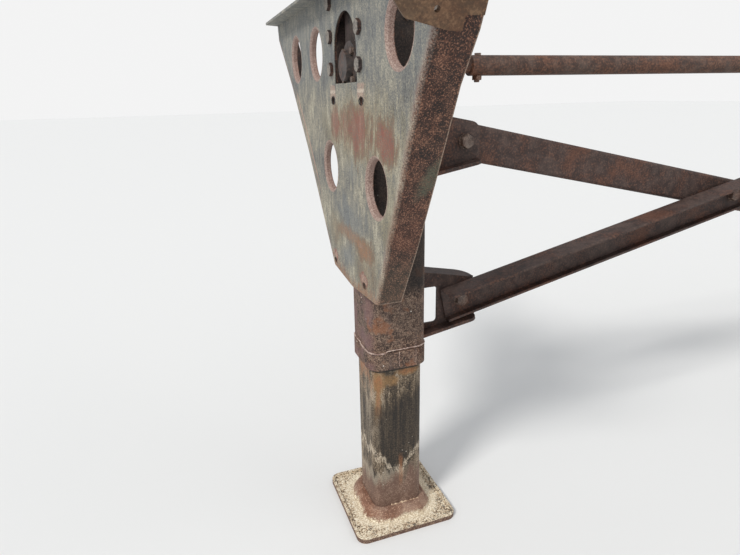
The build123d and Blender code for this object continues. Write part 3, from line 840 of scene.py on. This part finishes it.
class Finish(Enum):
    """The finishes of the set, by what they are used on."""

    WING = WingSheet()
    TUBE = OldTube()
    SLIDING = SlidingTube()
    FOOT = DustyFoot()
    GRIP = MouldedGrip()
    PLATE_BOLT = PlateBolt()
    TAB = GrainyRust(
        "tab_rust", (84, 62, 45), (106, 81, 60), (118, 98, 76), (160, 130, 100), 0.22, 0.35, 260.0,
        warm_share=0.15,
    )
    BRACE = GrainyRust(
        "brace_rust", (50, 36, 32), (74, 52, 45), (86, 73, 67), (130, 106, 92), 0.20, 0.45, rough=0.7
    )
    SHAFT = GrainyRust(
        "shaft_rust", (58, 40, 32), (90, 60, 46), (96, 84, 76), (136, 108, 90), 0.22, 0.50, 200.0, rough=0.66
    )
    IRON = GrainyRust(
        "case_iron", (48, 42, 40), (70, 56, 50), (86, 80, 78), (118, 100, 90), 0.22, 0.60, 170.0, 0.68, 0.0016
    )
    CRANK = GrainyRust(
        "crank_paint", (38, 35, 35), (52, 44, 42), (84, 78, 76), (124, 96, 80), 0.18, 0.35,
        rough=0.55, depth=0.0008,
    )
    BOLT = GrainyRust(
        "bolt_steel", (60, 46, 40), (92, 70, 58), (126, 116, 108), (168, 150, 134), 0.35, 0.60, 330.0, 0.6,
        0.0006,
    )
    BEAD = WeldMetal("weld_bead", (126, 100, 90), (196, 174, 162))
    DARK_BEAD = WeldMetal("weld_bead_rusty", (58, 44, 37), (104, 84, 72))
    DUST = WeldMetal("dust_line", (150, 118, 96), (226, 202, 172))

    def __init__(self, recipe: object) -> None:
        """Keep the recipe, and the material once it is built."""
        self.recipe = recipe
        self.made = None

    @property
    def material(self) -> Material:
        """The finish's material, built on first use.

        Returns:
            The material.
        """
        if self.made is None:
            self.made = self.recipe.material()
        return self.made


@dataclass
class Skin:
    """Points and faces of a closed surface. Adding two skins lays them side by side in one mesh."""

    points: Array
    quads: Array
    fans: Array

    def __add__(self, other: "Skin") -> "Skin":
        """Lay another skin beside this one.

        Args:
            other: the other skin.

        Returns:
            Both in one.
        """
        shift = len(self.points)
        quads, fans = np.vstack([self.quads, other.quads + shift]), np.vstack([self.fans, other.fans + shift])
        return Skin(np.vstack([self.points, other.points]), quads, fans)

    def outward(self) -> "Skin":
        """Turn the faces outwards: the signed volume under the faces is positive when they already are.

        Returns:
            The skin with its faces outwards.
        """
        a, b, c, d = (self.points[self.quads[:, corner]] for corner in range(4))
        e, f, g = (self.points[self.fans[:, corner]] for corner in range(3))
        volume = np.einsum("ij,ij->", a, np.cross(b, c)) + np.einsum("ij,ij->", a, np.cross(c, d))
        volume += np.einsum("ij,ij->", e, np.cross(f, g))
        return self if volume > 0 else Skin(self.points, self.quads[:, ::-1], self.fans[:, ::-1])


def joined(skins: list[Skin]) -> Skin:
    """Several skins as one."""
    return reduce(Skin.__add__, skins)


def rings_skin(rings: Array, looped: bool = False) -> Skin:
    """Close a grid of rings into a skin.

    Each ring's points join the next ring's. The two end rings close on their own middles, unless the rings
    run round in a loop, where the last joins the first.

    Args:
        rings: points, shaped rings by points a ring by 3.
        looped: whether the rings run round.

    Returns:
        The closed skin, faces outwards.
    """
    count, sides = rings.shape[:2]
    index = np.arange(count * sides).reshape(count, sides)
    beside = np.roll(index, -1, axis=1)
    if looped:
        ahead, ahead_beside = np.roll(index, -1, axis=0), np.roll(beside, -1, axis=0)
        quads = np.stack([index, beside, ahead_beside, ahead], -1).reshape(-1, 4)
        return Skin(rings.reshape(-1, 3), quads, np.empty((0, 3), int)).outward()
    quads = np.stack([index[:-1], beside[:-1], beside[1:], index[1:]], -1).reshape(-1, 4)
    first, last = np.full(sides, count * sides), np.full(sides, count * sides + 1)
    ends = [np.stack([first, beside[0], index[0]], -1), np.stack([last, index[-1], beside[-1]], -1)]
    points = np.vstack([rings.reshape(-1, 3), rings[0].mean(0), rings[-1].mean(0)])
    return Skin(points, quads, np.vstack(ends)).outward()


def across(axis: Array) -> tuple[Array, Array]:
    """Find two directions square to an axis and to each other.

    Args:
        axis: a unit vector.

    Returns:
        Both unit directions.
    """
    first = np.cross(axis, [0.0, 0.0, 1.0] if abs(axis[2]) < 0.9 else [1.0, 0.0, 0.0])
    first /= np.linalg.norm(first)
    return first, np.cross(axis, first)


def turned(profile: list[Spot], foot: Spot, axis: Spot, sides: int = 32, flats: float = 0.0) -> Skin:
    """Turn a profile round an axis.

    A point is the foot plus the height along the axis plus the radius round it. With flats, the radius is the
    smaller of the profile's and a hexagon's, whose radius is half the width over flats by the cosine of the
    angle from the nearest flat's middle.

    Args:
        profile: rows of radius and height.
        foot: where height is 0.
        axis: the way height runs.
        sides: points round the axis.
        flats: width over a hexagon's flats, or 0 for round.

    Returns:
        The closed skin.
    """
    axis = np.asarray(axis, float) / np.linalg.norm(axis)
    first, second = across(axis)
    angle = np.arange(sides) * 2 * np.pi / sides
    radius, height = (np.array(column)[:, None] for column in zip(*profile))
    if flats:
        radius = np.minimum(radius, flats / 2 / np.cos((angle + np.pi / 6) % (np.pi / 3) - np.pi / 6))
    ring = np.cos(angle)[:, None] * first + np.sin(angle)[:, None] * second
    radius = np.broadcast_to(radius, (len(profile), sides))
    return rings_skin(np.asarray(foot, float) + height[..., None] * axis + radius[..., None] * ring)


def bead(
    path: Array, radius: float, seed: int, looped: bool = False, ripple: float = 0.16, pitch: float = 0.006
) -> Skin:
    """Lay a weld bead along a path.

    A circle is carried along the path. Its radius swells and shrinks by a sine of the length travelled, one
    wave for each pitch, and by slow waves with seeded phases, and it tapers to nothing at open ends.

    Args:
        path: points, shaped count by 3.
        radius: the bead's radius.
        seed: choice of the slow waves.
        looped: whether the path closes on itself.
        ripple: how strong the swelling is, as a share of the radius.
        pitch: length of one wave.

    Returns:
        The closed skin.
    """
    chance = np.random.default_rng(seed)
    ahead = np.roll(path, -1, axis=0) - np.roll(path, 1, axis=0) if looped else np.gradient(path, axis=0)
    ahead /= np.linalg.norm(ahead, axis=1, keepdims=True)
    travelled = np.concatenate([[0.0], np.cumsum(np.linalg.norm(np.diff(path, axis=0), axis=1))])
    whole = travelled[-1] + (np.linalg.norm(path[0] - path[-1]) if looped else 0.0)
    turns = 2 * np.pi * travelled / whole
    swell = 1 + ripple * np.sin(max(1, round(whole / pitch)) * turns)
    for wave in (2, 3, 5, 9):
        swell += 0.5 * ripple * np.sin(wave * turns + 2 * np.pi * chance.random())
    if not looped:
        swell *= np.clip(np.minimum(travelled, whole - travelled) / radius, 0.0, 1.0) ** 0.5 + 0.02
    guide = np.where(np.abs(ahead[:, 2:]) < 0.9, [[0.0, 0.0, 1.0]], [[0.0, 1.0, 0.0]])
    side = np.cross(ahead, guide)
    side /= np.linalg.norm(side, axis=1, keepdims=True)
    lift = np.cross(ahead, side)
    angle = np.arange(10)[None, :, None] * 2 * np.pi / 10
    circle = np.cos(angle) * side[:, None] + np.sin(angle) * lift[:, None]
    return rings_skin(path[:, None] + radius * swell[:, None, None] * circle, looped)


def straight(start: Spot, end: Spot, step: float = 0.0018) -> Array:
    """Space points evenly on a straight line.

    Args:
        start: its start.
        end: its end.
        step: about how far apart the points are.

    Returns:
        The points, count by 3.
    """
    start, end = np.array(start, float), np.array(end, float)
    share = np.linspace(0.0, 1.0, max(3, round(np.linalg.norm(end - start) / step)))
    return start + share[:, None] * (end - start)


def rounded_square(half: float, corner: float, height: float, count: int = 420) -> Array:
    """Space points evenly round a square with rounded corners, about the leg's middle.

    The length travelled gives the side it is on and the place along that side: a straight run, then an arc
    about the corner's centre. Each side is the first one turned by quarter turns.

    Args:
        half: half the side.
        corner: the corner radius.
        height: the outline's Z.
        count: points round it.

    Returns:
        The points, count by 3.
    """
    side, arc = 2 * (half - corner), corner * np.pi / 2
    quarter, along = np.divmod(np.arange(count) / count * 4 * (side + arc), side + arc)
    bend = np.clip((along - side) / arc, 0.0, 1.0) * np.pi / 2
    out = half - corner + corner * np.cos(bend)
    run = np.minimum(along, side) - side / 2 + corner * np.sin(bend)
    turn = quarter * np.pi / 2
    x, y = out * np.cos(turn) - run * np.sin(turn), out * np.sin(turn) + run * np.cos(turn)
    return np.stack([x, y, np.full(count, height)], -1)


def bolt_head(seat: Spot, axis: Spot, flats: float, height: float, washer: float = 0.0) -> Skin:
    """A hexagon bolt head, on a washer if that has a radius.

    Args:
        seat: point on the surface under it.
        axis: the way the head stands up.
        flats: width over flats.
        height: the head's height.
        washer: the washer's radius, or 0.

    Returns:
        Both as one skin.
    """
    lift, corner, face = WASHER if washer else 0.0, flats * 0.578, flats * 0.475
    head = [
        (PIN, lift), (corner, lift), (corner, lift + height * 0.80), (face * 1.08, lift + height * 0.93),
        (face, lift + height), (face * 0.55, lift + height * 0.985), (PIN, lift + height * 0.95),
    ]
    rim = [(PIN, 0.0), (washer - 0.0004, 0.0), (washer, 0.0008)]
    rim += [(washer, 0.0024), (washer - 0.0006, WASHER), (PIN, WASHER)]
    hexagon = turned(head, seat, axis, 48, flats)
    return turned(rim, seat, axis, 40) + hexagon if washer else hexagon


def nut(seat: Spot, axis: Spot, flats: float, height: float, stud: float, washer: float = 0.0) -> Skin:
    """A hexagon nut with the end of its bolt standing out.

    Args:
        seat: point on the surface under it.
        axis: the way the nut stands up.
        flats: width over flats.
        height: the nut's height.
        stud: the bolt's radius.
        washer: the washer's radius, or 0.

    Returns:
        The parts as one skin.
    """
    lift = height + (WASHER if washer else 0.0)
    tip = [(stud, -0.002), (stud, 0.003), (stud * 0.82, 0.0045), (0.0004, 0.0047)]
    end = turned(tip, np.asarray(seat, float) + lift * np.asarray(axis, float), axis, 24)
    return bolt_head(seat, axis, flats, height, washer) + end


def add_piece(
    name: str, skin: Skin, finish: Finish, body: str, sharp: float = 32.0
) -> bpy.types.Object:
    """Put a skin into the scene as a piece of the set.

    Args:
        name: the piece's name.
        skin: its surface.
        finish: what it looks like.
        body: the solid body it moves with.
        sharp: edges bent by more than this many degrees stay sharp.

    Returns:
        The new object.
    """
    mesh = bpy.data.meshes.new(name)
    mesh.from_pydata(skin.points.tolist(), [], skin.quads.tolist() + skin.fans.tolist())
    mesh.shade_smooth()
    mesh.set_sharp_from_angle(angle=math.radians(sharp))
    mesh.materials.append(finish.material)
    piece = bpy.data.objects.new(name, mesh)
    bpy.context.scene.collection.objects.link(piece)
    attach(piece, body)
    LOG.info("%s: %d faces on %s", name, len(mesh.polygons), body)
    return piece


def dress(finish: Finish, *nodes: str) -> None:
    """Give solid nodes their finish.

    Args:
        finish: what they look like.
        nodes: names of the nodes.
    """
    for name in nodes:
        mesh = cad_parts[name].data
        mesh.materials.clear()
        mesh.materials.append(finish.material)
        LOG.info("%s: dressed as %s", name, finish.name)


class Side(Enum):
    """The two legs: X of the leg's middle, and the way outboard."""

    KERB = (0.0, -1.0)
    ROAD = (SPACING, 1.0)

    @property
    def label(self) -> str:
        """The side's name as pieces use it."""
        return self.name.lower()

    @property
    def way(self) -> float:
        """The way outboard along X, -1 or 1."""
        return self.value[1]

    def out(self, kerb_x: float) -> float:
        """X on this side of a place given by its kerb side X."""
        return self.value[0] - self.way * kerb_x

    def mirrored(self, points: Array) -> Array:
        """Move points given for the kerb side to this side.

        Args:
            points: the points, X first.

        Returns:
            The moved points.
        """
        points = np.array(points, float)
        points[..., 0] = self.out(points[..., 0])
        return points


@dataclass
class WingPlate:
    """A pressed wing plate with its tab, angles and bolts."""

    side: Side
    rows: Spot = (1.0695, 1.1330, 1.1965)
    angle_sheet: float = 0.009
    bolt_flats: float = 0.024
    arch_centre: float = 1.098
    arch_radius: float = 0.073
    sill_level: float = 1.040
    tab_columns: Spot = (-0.040, -0.105)

    def web_bolts(self) -> Skin:
        """Heads outside the plate and nuts behind the angles, for the three upper rows of both columns.

        Returns:
            All of them as one skin.
        """
        face, back = self.side.out(WEB_X), self.side.out(WEB_X + WEB_SHEET + self.angle_sheet)
        way = self.side.way
        skins = []
        for y in (-BOLT_COLUMN, BOLT_COLUMN):
            for z in self.rows:
                skins.append(bolt_head((face, y, z), (way, 0.0, 0.0), self.bolt_flats, height=0.008))
                skins.append(nut((back, y, z), (-way, 0.0, 0.0), self.bolt_flats, height=0.012, stud=0.008))
        return joined(skins)

    def arch_sill(self) -> Skin:
        """The strip of web that ends the arch window level with its shaft's lower side.

        A section is carried along Y. Its top is the sill, with bevelled edges, and its bottom follows the
        arch's circle: the circle's middle less the square root of the radius squared less Y squared. It lies
        a hair inside both faces of the sheet and reaches into the window's edge.

        Returns:
            The closed skin.
        """
        radius, bevel, hair, count = self.arch_radius + 0.0006, 0.0006, 0.0002, 61
        half = 0.985 * math.sqrt(radius**2 - (self.arch_centre - self.sill_level) ** 2)
        along = np.linspace(-half, half, count)
        low = self.arch_centre - np.sqrt(radius**2 - along**2)
        top = np.full(count, self.sill_level)
        outer, inner = WEB_X + hair, WEB_X + WEB_SHEET - hair
        corners = [(outer, low), (outer, top - bevel), (outer + bevel, top)]
        corners += [(inner - bevel, top), (inner, top - bevel), (inner, low)]
        rings = np.stack([np.stack([np.full(count, x), along, z], -1) for x, z in corners], 1)
        return rings_skin(self.side.mirrored(rings))

    def tab_bolts(self) -> Skin:
        """Two heads on the sloping tab, along its slope from the lower end up.

        Returns:
            Both as one skin.
        """
        high, low = (np.array([0.0, *point]) for point in FRONT_EDGE[:2])
        slope = (high - low) / np.linalg.norm(high - low)
        facing = np.array([0.0, -slope[2], slope[1]])
        middle = low + slope * 0.082 + facing * 0.010
        seats = [middle + (self.side.out(x), 0.0, 0.0) for x in self.tab_columns]
        return joined([bolt_head(seat, facing, flats=0.022, height=0.009, washer=0.014) for seat in seats])

    def build(self) -> None:
        """Dress the plate, tab and angles and make the new pieces."""
        label = self.side.label
        dress(Finish.WING, f"{label}_wing_plate")
        dress(Finish.TAB, f"{label}_front_tab")
        dress(Finish.TUBE, f"{label}_mount_angles")
        for name, skin, finish, slot in (
            ("arch_sill", self.arch_sill(), Finish.WING, "wing_sheet"),
            ("web_bolts", self.web_bolts(), Finish.PLATE_BOLT, "wing_sheet"),
            ("tab_bolts", self.tab_bolts(), Finish.BOLT, "tab_steel"),
        ):
            add_piece(f"{label}_{name}", skin, finish, "frame")


@dataclass
class Leg:
    """A telescopic leg: tubes, collar and foot, with their welds and grease fitting."""

    side: Side
    collar_top: float = 0.462
    collar_half: float = 0.072
    collar_step: float = 0.0045
    socket_top: float = 0.034
    inner_half: float = 0.0635
    cap_level: float = 1.206
    angle_x: float = 0.0268
    angle_y: float = 0.0712
    fitting: Spot = (0.012, -TUBE_HALF, 1.150)

    def collar_bead(self) -> Skin:
        """The weld round the collar's upper edge, with a small step on the front face, and its upright seam.

        The bead's height is the collar's top plus a smooth step of the X across the front face.

        Returns:
            Both beads as one skin.
        """
        path = rounded_square(TUBE_HALF + 0.0008, 0.0308, self.collar_top + 0.0005)
        step = self.collar_step / (1 + np.exp(-(path[:, 0] + 0.0335) / 0.0012))
        path[:, 2] += np.where(path[:, 1] < 0, step, self.collar_step)
        seam = straight((-0.002, -self.collar_half, 0.424), (-0.002, -self.collar_half, 0.463))
        ring = bead(self.side.mirrored(path), 0.0017, looped=True, ripple=0.20, pitch=0.009, seed=3)
        return ring + bead(self.side.mirrored(seam), 0.0008, ripple=0.2, pitch=0.005, seed=4)

    def foot_line(self) -> Skin:
        """Dust packed into the front joint of the inner tube and the socket.

        Returns:
            The closed skin.
        """
        face = -self.inner_half - 0.0008
        path = straight((-0.024, face, self.socket_top), (0.052, face, self.socket_top), 0.0012)
        return bead(self.side.mirrored(path), 0.0016, ripple=0.45, pitch=0.013, seed=8)

    def cap_bead(self) -> Skin:
        """The weld round the leg's cap."""
        path = rounded_square(TUBE_HALF - 0.0004, 0.030, self.cap_level)
        return bead(self.side.mirrored(path), 0.0019, looped=True, ripple=0.15, seed=9)

    def angle_beads(self) -> Skin:
        """Upright welds between the mount angles and the leg.

        Returns:
            Both beads as one skin.
        """
        skins = []
        for end, y in enumerate((-self.angle_y, self.angle_y)):
            path = straight((self.angle_x, y, 0.990), (self.angle_x, y, 1.200))
            skins.append(bead(self.side.mirrored(path), 0.0038, seed=11 + end))
        return joined(skins)

    def grease_fitting(self) -> Skin:
        """A turned grease fitting on the leg's front face near its top.

        Returns:
            The closed skin.
        """
        profile = [
            (0.0003, 0.0), (0.0075, 0.0), (0.0075, 0.003), (0.0048, 0.0034), (0.0042, 0.0075),
            (0.0030, 0.0085), (0.0030, 0.0100), (0.0042, 0.0112), (0.0040, 0.0132), (0.0022, 0.0145),
            (0.0003, 0.0146),
        ]
        return turned(profile, self.side.mirrored(self.fitting), (0.0, -1.0, 0.0), 28)

    def build(self) -> None:
        """Dress the leg's solids and make the new pieces."""
        label = self.side.label
        dress(Finish.FOOT, f"{label}_foot")
        dress(Finish.SLIDING, f"{label}_inner_tube")
        dress(Finish.TUBE, f"{label}_outer_tube", f"{label}_collar", f"{label}_top_cap")
        for name, skin, finish in (
            ("collar_weld", self.collar_bead(), Finish.BEAD),
            ("cap_weld", self.cap_bead(), Finish.DARK_BEAD),
            ("angle_welds", self.angle_beads(), Finish.DARK_BEAD),
        ):
            add_piece(f"{label}_{name}", skin, finish, "frame", 60.0)
        add_piece(f"{label}_grease_fitting", self.grease_fitting(), Finish.BOLT, "frame")
        dust = self.foot_line()
        add_piece(f"{label}_foot_dust_line", dust, Finish.DUST, f"{label}_leg", 60.0)


@dataclass
class Braces:
    """The crossed braces with their ears, bolts and welds."""

    low_bolt: Spot = (0.184, 0.543)
    high_bolt: Spot = (0.187, 0.914)
    low_ear: Spot = (0.463, 0.623)
    high_ear: Spot = (0.840, 0.984)
    ear_half: float = 0.004
    web: float = 0.006
    flats: float = 0.028
    washer: float = 0.0175

    def through(self, x: float, z: float, front: float, back: float) -> Skin:
        """A bolt through ear and brace, with Y of the surfaces under its head and its nut."""
        head = bolt_head((x, front, z), (0.0, -1.0, 0.0), self.flats, height=0.011, washer=self.washer)
        return head + nut((x, back, z), (0.0, 1.0, 0.0), self.flats, 0.014, stud=0.008, washer=self.washer)

    def crossing(self) -> Skin:
        """The bolt where the braces cross, with the ring that fills the gap between them.

        Returns:
            Head, nut and ring as one skin.
        """
        x, z, sheet = SPACING / 2, (self.low_bolt[1] + self.high_bolt[1]) / 2, self.ear_half + self.web
        ring = [(PIN, 0.0), (0.0150, 0.0), (0.0150, 2 * self.ear_half), (PIN, 2 * self.ear_half)]
        return self.through(x, z, -sheet, sheet) + turned(ring, (x, -self.ear_half, z), (0.0, 1.0, 0.0))

    def ear_welds(self, side: Side, low: float, high: float, seed: int) -> Skin:
        """Upright welds on both faces of an ear where it meets the leg, and one along its top flange.

        Args:
            side: which leg.
            low: Z of the ear's lower end.
            high: Z of its upper end.
            seed: choice of the beads' slow waves.

        Returns:
            The three beads as one skin.
        """
        x, face, turn = TUBE_HALF + 0.0006, self.ear_half * 1.2, -side.way
        lines = [
            ((x, -face, low + 0.012), (x, -face, high - 0.006)),
            ((x, face, low + 0.006), (x, face, high - 0.012)),
            ((x, turn * self.ear_half, high + 0.0004), (x, turn * 0.042, high + 0.0004)),
        ]
        paths = (side.mirrored(straight(*line)) for line in lines)
        return joined([bead(path, 0.0036, seed=seed + order) for order, path in enumerate(paths)])

    def build(self) -> None:
        """Make the bolts and welds of all four ears and the crossing."""
        dress(Finish.BRACE, "brace_front", "brace_rear")
        for side in Side:
            dress(Finish.BRACE, f"{side.label}_lower_ear", f"{side.label}_upper_ear")
        half, sheet = self.ear_half, self.ear_half + self.web
        for side in Side:
            ends = ((-sheet, half), (-half, sheet)) if side is Side.KERB else ((-half, sheet), (-sheet, half))
            for ear, (x, z), end in zip(("lower", "upper"), (self.low_bolt, self.high_bolt), ends):
                bolt = self.through(side.out(x), z, *end)
                add_piece(f"{side.label}_{ear}_ear_bolt", bolt, Finish.BOLT, "frame")
        add_piece("brace_crossing_bolt", self.crossing(), Finish.BOLT, "frame")
        for side in Side:
            for ear, (low, high), seed in (("lower", self.low_ear, 20), ("upper", self.high_ear, 30)):
                name, welds = f"{side.label}_{ear}_ear_weld", self.ear_welds(side, low, high, seed)
                add_piece(name, welds, Finish.DARK_BEAD, "frame", 60.0)


@dataclass
class GearBox:
    """Gear case, cover and shaft bearings with their screws."""

    rim_half: Spot = (0.0885, 0.0785)
    cover_x: float = SPACING - TUBE_HALF - 0.046 - 0.008
    flange_screws: int = 4
    flange_reach: float = 0.0375

    def cover_screws(self) -> Skin:
        """Eight screws round the cover's rim.

        Returns:
            All of them as one skin.
        """
        wide, tall = self.rim_half
        spots = [(y, z) for z in (tall, -tall) for y in (-0.070, 0.0, 0.070)] + [(-wide, 0.0), (wide, 0.0)]
        seats = [(self.cover_x, y, SHAFT_Z + z) for y, z in spots]
        return joined([bolt_head(seat, (-1.0, 0.0, 0.0), 0.013, 0.0055, washer=0.0085) for seat in seats])

    def flange_bolts(self, face: float, way: float) -> Skin:
        """Screws spaced evenly round a bearing's flange.

        Args:
            face: X of the flange's face.
            way: the way they stand up along X, -1 or 1.

        Returns:
            All of them as one skin.
        """
        angles = (np.arange(self.flange_screws) + 0.5) * 2 * np.pi / self.flange_screws
        spots = zip(self.flange_reach * np.cos(angles), SHAFT_Z + self.flange_reach * np.sin(angles))
        return joined([bolt_head((face, y, z), (way, 0.0, 0.0), flats=0.012, height=0.006) for y, z in spots])

    def build(self) -> None:
        """Make the screws and dress the castings."""
        dress(Finish.IRON, "gear_case", "gear_cover")
        dress(Finish.IRON, "kerb_bearing_cap", "road_bearing_cap", "kerb_shaft_bearing")
        add_piece("gear_cover_screws", self.cover_screws(), Finish.BOLT, "frame")
        for name, face, way in (
            ("kerb_bearing_cap_screws", -TUBE_HALF - 0.008, -1.0),
            ("kerb_shaft_bearing_screws", TUBE_HALF + 0.008, 1.0),
            ("road_bearing_cap_screws", SPACING + TUBE_HALF + 0.008, 1.0),
        ):
            add_piece(name, self.flange_bolts(face, way), Finish.BOLT, "frame")


@dataclass
class DriveLine:
    """Cross shaft with its coupling bolts, and the folding crank."""

    coupling_x: float = 0.212
    cross_radius: float = 0.021
    pivot_x: float = SPACING + 0.200
    rod_top: float = 1.0275
    grip_top: float = 0.8655
    grip_length: float = 0.104
    rod_arm: float = 0.300

    def coupling_bolt(self, x: float) -> Skin:
        """One bolt through the tube and the stub inside it: its low head above, its nut below.

        Args:
            x: its X.

        Returns:
            Head and nut as one skin.
        """
        above, below = SHAFT_Z + self.cross_radius - 0.001, SHAFT_Z - self.cross_radius + 0.0015
        head = bolt_head((x, 0.0, above), (0.0, 0.0, 1.0), flats=0.014, height=0.005)
        return head + nut((x, 0.0, below), (0.0, 0.0, -1.0), flats=0.020, height=0.010, stud=0.006)

    def clevis_weld(self) -> Skin:
        """The weld where the crank's rod meets its clevis.

        Returns:
            The closed skin.
        """
        angle = np.arange(90) * 2 * np.pi / 90
        x, y = self.pivot_x + 0.0125 * np.cos(angle), 0.0125 * np.sin(angle)
        return bead(np.stack([x, y, np.full(90, self.rod_top)], -1), 0.0024, looped=True, seed=41)

    def grip(self) -> Skin:
        """The moulded grip: a sleeve with a bead at each end.

        Its radius follows a raised cosine of the length, eleven waves.

        Returns:
            The grip's closed skin.
        """
        along = np.linspace(0.0, 1.0, 140)
        waves = 0.0158 + 0.0009 * np.cos(2 * np.pi * 11 * along)
        radius = np.maximum(waves, 0.0169 * np.exp(-((np.minimum(along, 1 - along) / 0.03) ** 4)))
        radius[[0, -1]] -= 0.0012
        profile = [(0.0124, 0.0), *zip(radius, along * self.grip_length), (0.0124, self.grip_length)]
        return turned(profile, (self.pivot_x, self.rod_arm, self.grip_top), (0.0, 0.0, -1.0), 48)

    def build(self) -> None:
        """Make the shaft's and the crank's pieces."""
        dress(Finish.SHAFT, "cross_shaft", "kerb_stub_shaft", "crank_shaft")
        dress(Finish.CRANK, "crank_clevis", "crank_pin", "crank_rod")
        for side in Side:
            bolt = self.coupling_bolt(side.out(self.coupling_x))
            add_piece(f"{side.label}_coupling_bolt", bolt, Finish.BOLT, "drive_shaft")
        add_piece("crank_clevis_weld", self.clevis_weld(), Finish.DARK_BEAD, "crank", 60.0)
        grip = add_piece("crank_grip_moulded", self.grip(), Finish.GRIP, "crank", 40.0)
        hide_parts("crank_grip")


def stand(thing: bpy.types.Object, directions: tuple[Spot, ...], spot: Spot = (0.0, 0.0, 0.0)) -> None:
    """Place a lamp or a camera and link it into the scene.

    Args:
        thing: the lamp or camera.
        directions: its right, upward and backward directions.
        spot: where it stands.
    """
    rows = np.column_stack([*directions, spot]).tolist()
    thing.matrix_world = Matrix([*rows, [0.0, 0.0, 0.0, 1.0]])
    bpy.context.scene.collection.objects.link(thing)


@dataclass
class Studio:
    """Floor, light and camera."""

    eye: Spot = (-0.430, -1.1005, 1.016)
    right: Spot = (0.94102, -0.33769, -0.02108)
    upward: Spot = (0.12666, 0.29381, 0.94743)
    back: Spot = (-0.31375, -0.89423, 0.31925)
    lens: float = 26.34
    floor_half: float = 40.0

    def floor(self) -> None:
        """A plain pale floor."""
        half = self.floor_half
        corners = [(-half, -half, 0), (half, -half, 0), (half, half, 0), (-half, half, 0)]
        mesh = bpy.data.meshes.new("studio_floor")
        mesh.from_pydata(corners, [], [(0, 1, 2, 3)])
        tree = Tree(bpy.data.materials.new("studio_floor"))
        sockets = {"Base Color": (0.80, 0.80, 0.79, 1.0), "Roughness": 0.9}
        shader = tree.node("ShaderNodeBsdfPrincipled", {}, sockets)
        tree.node("ShaderNodeOutputMaterial", {}, {"Surface": shader.outputs[0]})
        mesh.materials.append(tree.owner)
        floor = bpy.data.objects.new("studio_floor", mesh)
        bpy.context.scene.collection.objects.link(floor)

    def world(self) -> None:
        """Soft grey light from all round, seen as a white background."""
        tree = Tree(bpy.data.worlds.new("studio"))
        bpy.context.scene.world = tree.owner
        path = tree.node("ShaderNodeLightPath", {}, {}).outputs
        seen = Shade(tree, path["Is Camera Ray"]) | Shade(tree, path["Is Transmission Ray"])
        soft = tree.node("ShaderNodeBackground", {}, {"Color": (0.93, 0.96, 1.0, 1.0), "Strength": 0.62})
        white = tree.node("ShaderNodeBackground", {}, {"Color": (0.90, 0.90, 0.90, 1.0)})
        mixed = tree.node("ShaderNodeMixShader", {}, {0: seen, 1: soft.outputs[0], 2: white.outputs[0]})
        tree.node("ShaderNodeOutputWorld", {}, {"Surface": mixed.outputs[0]})

    def lamp(self, name: str, strength: float, spread: float, toward: Spot) -> None:
        """A wide, soft, distant lamp.

        Args:
            name: the lamp's name.
            strength: its strength.
            spread: how wide it looks, in degrees.
            toward: the way its light travels.
        """
        light = bpy.data.lights.new(name, "SUN")
        light.energy, light.angle = strength, math.radians(spread)
        light.color = (1.0, 0.98, 0.95)
        back = -np.array(toward) / np.linalg.norm(toward)
        stand(bpy.data.objects.new(name, light), (*across(back), back))

    def camera(self) -> None:
        """The photograph's viewpoint."""
        data = bpy.data.cameras.new("photo_view")
        data.lens, data.sensor_width, data.sensor_fit = self.lens, 36.0, "HORIZONTAL"
        data.clip_start, data.clip_end = 0.05, 200.0
        camera = bpy.data.objects.new("photo_view", data)
        stand(camera, (self.right, self.upward, self.back), self.eye)
        bpy.context.scene.camera = camera

    def build(self) -> None:
        """Set up the whole studio."""
        self.floor()
        self.world()
        self.lamp("studio_key", strength=2.0, spread=14.0, toward=(0.72, 0.42, -0.80))
        self.lamp("studio_fill", strength=0.5, spread=60.0, toward=(-0.8, 0.35, -0.45))
        self.camera()
        bpy.context.scene.view_settings.view_transform = "Standard"


def main() -> None:
    """Build the studio and every sub-assembly."""
    logging.basicConfig(level=logging.INFO, format="%(message)s")
    for assembly in (Studio(), *map(WingPlate, Side), *map(Leg, Side), Braces(), GearBox(), DriveLine()):
        assembly.build()


if __name__ == "__main__":
    main()
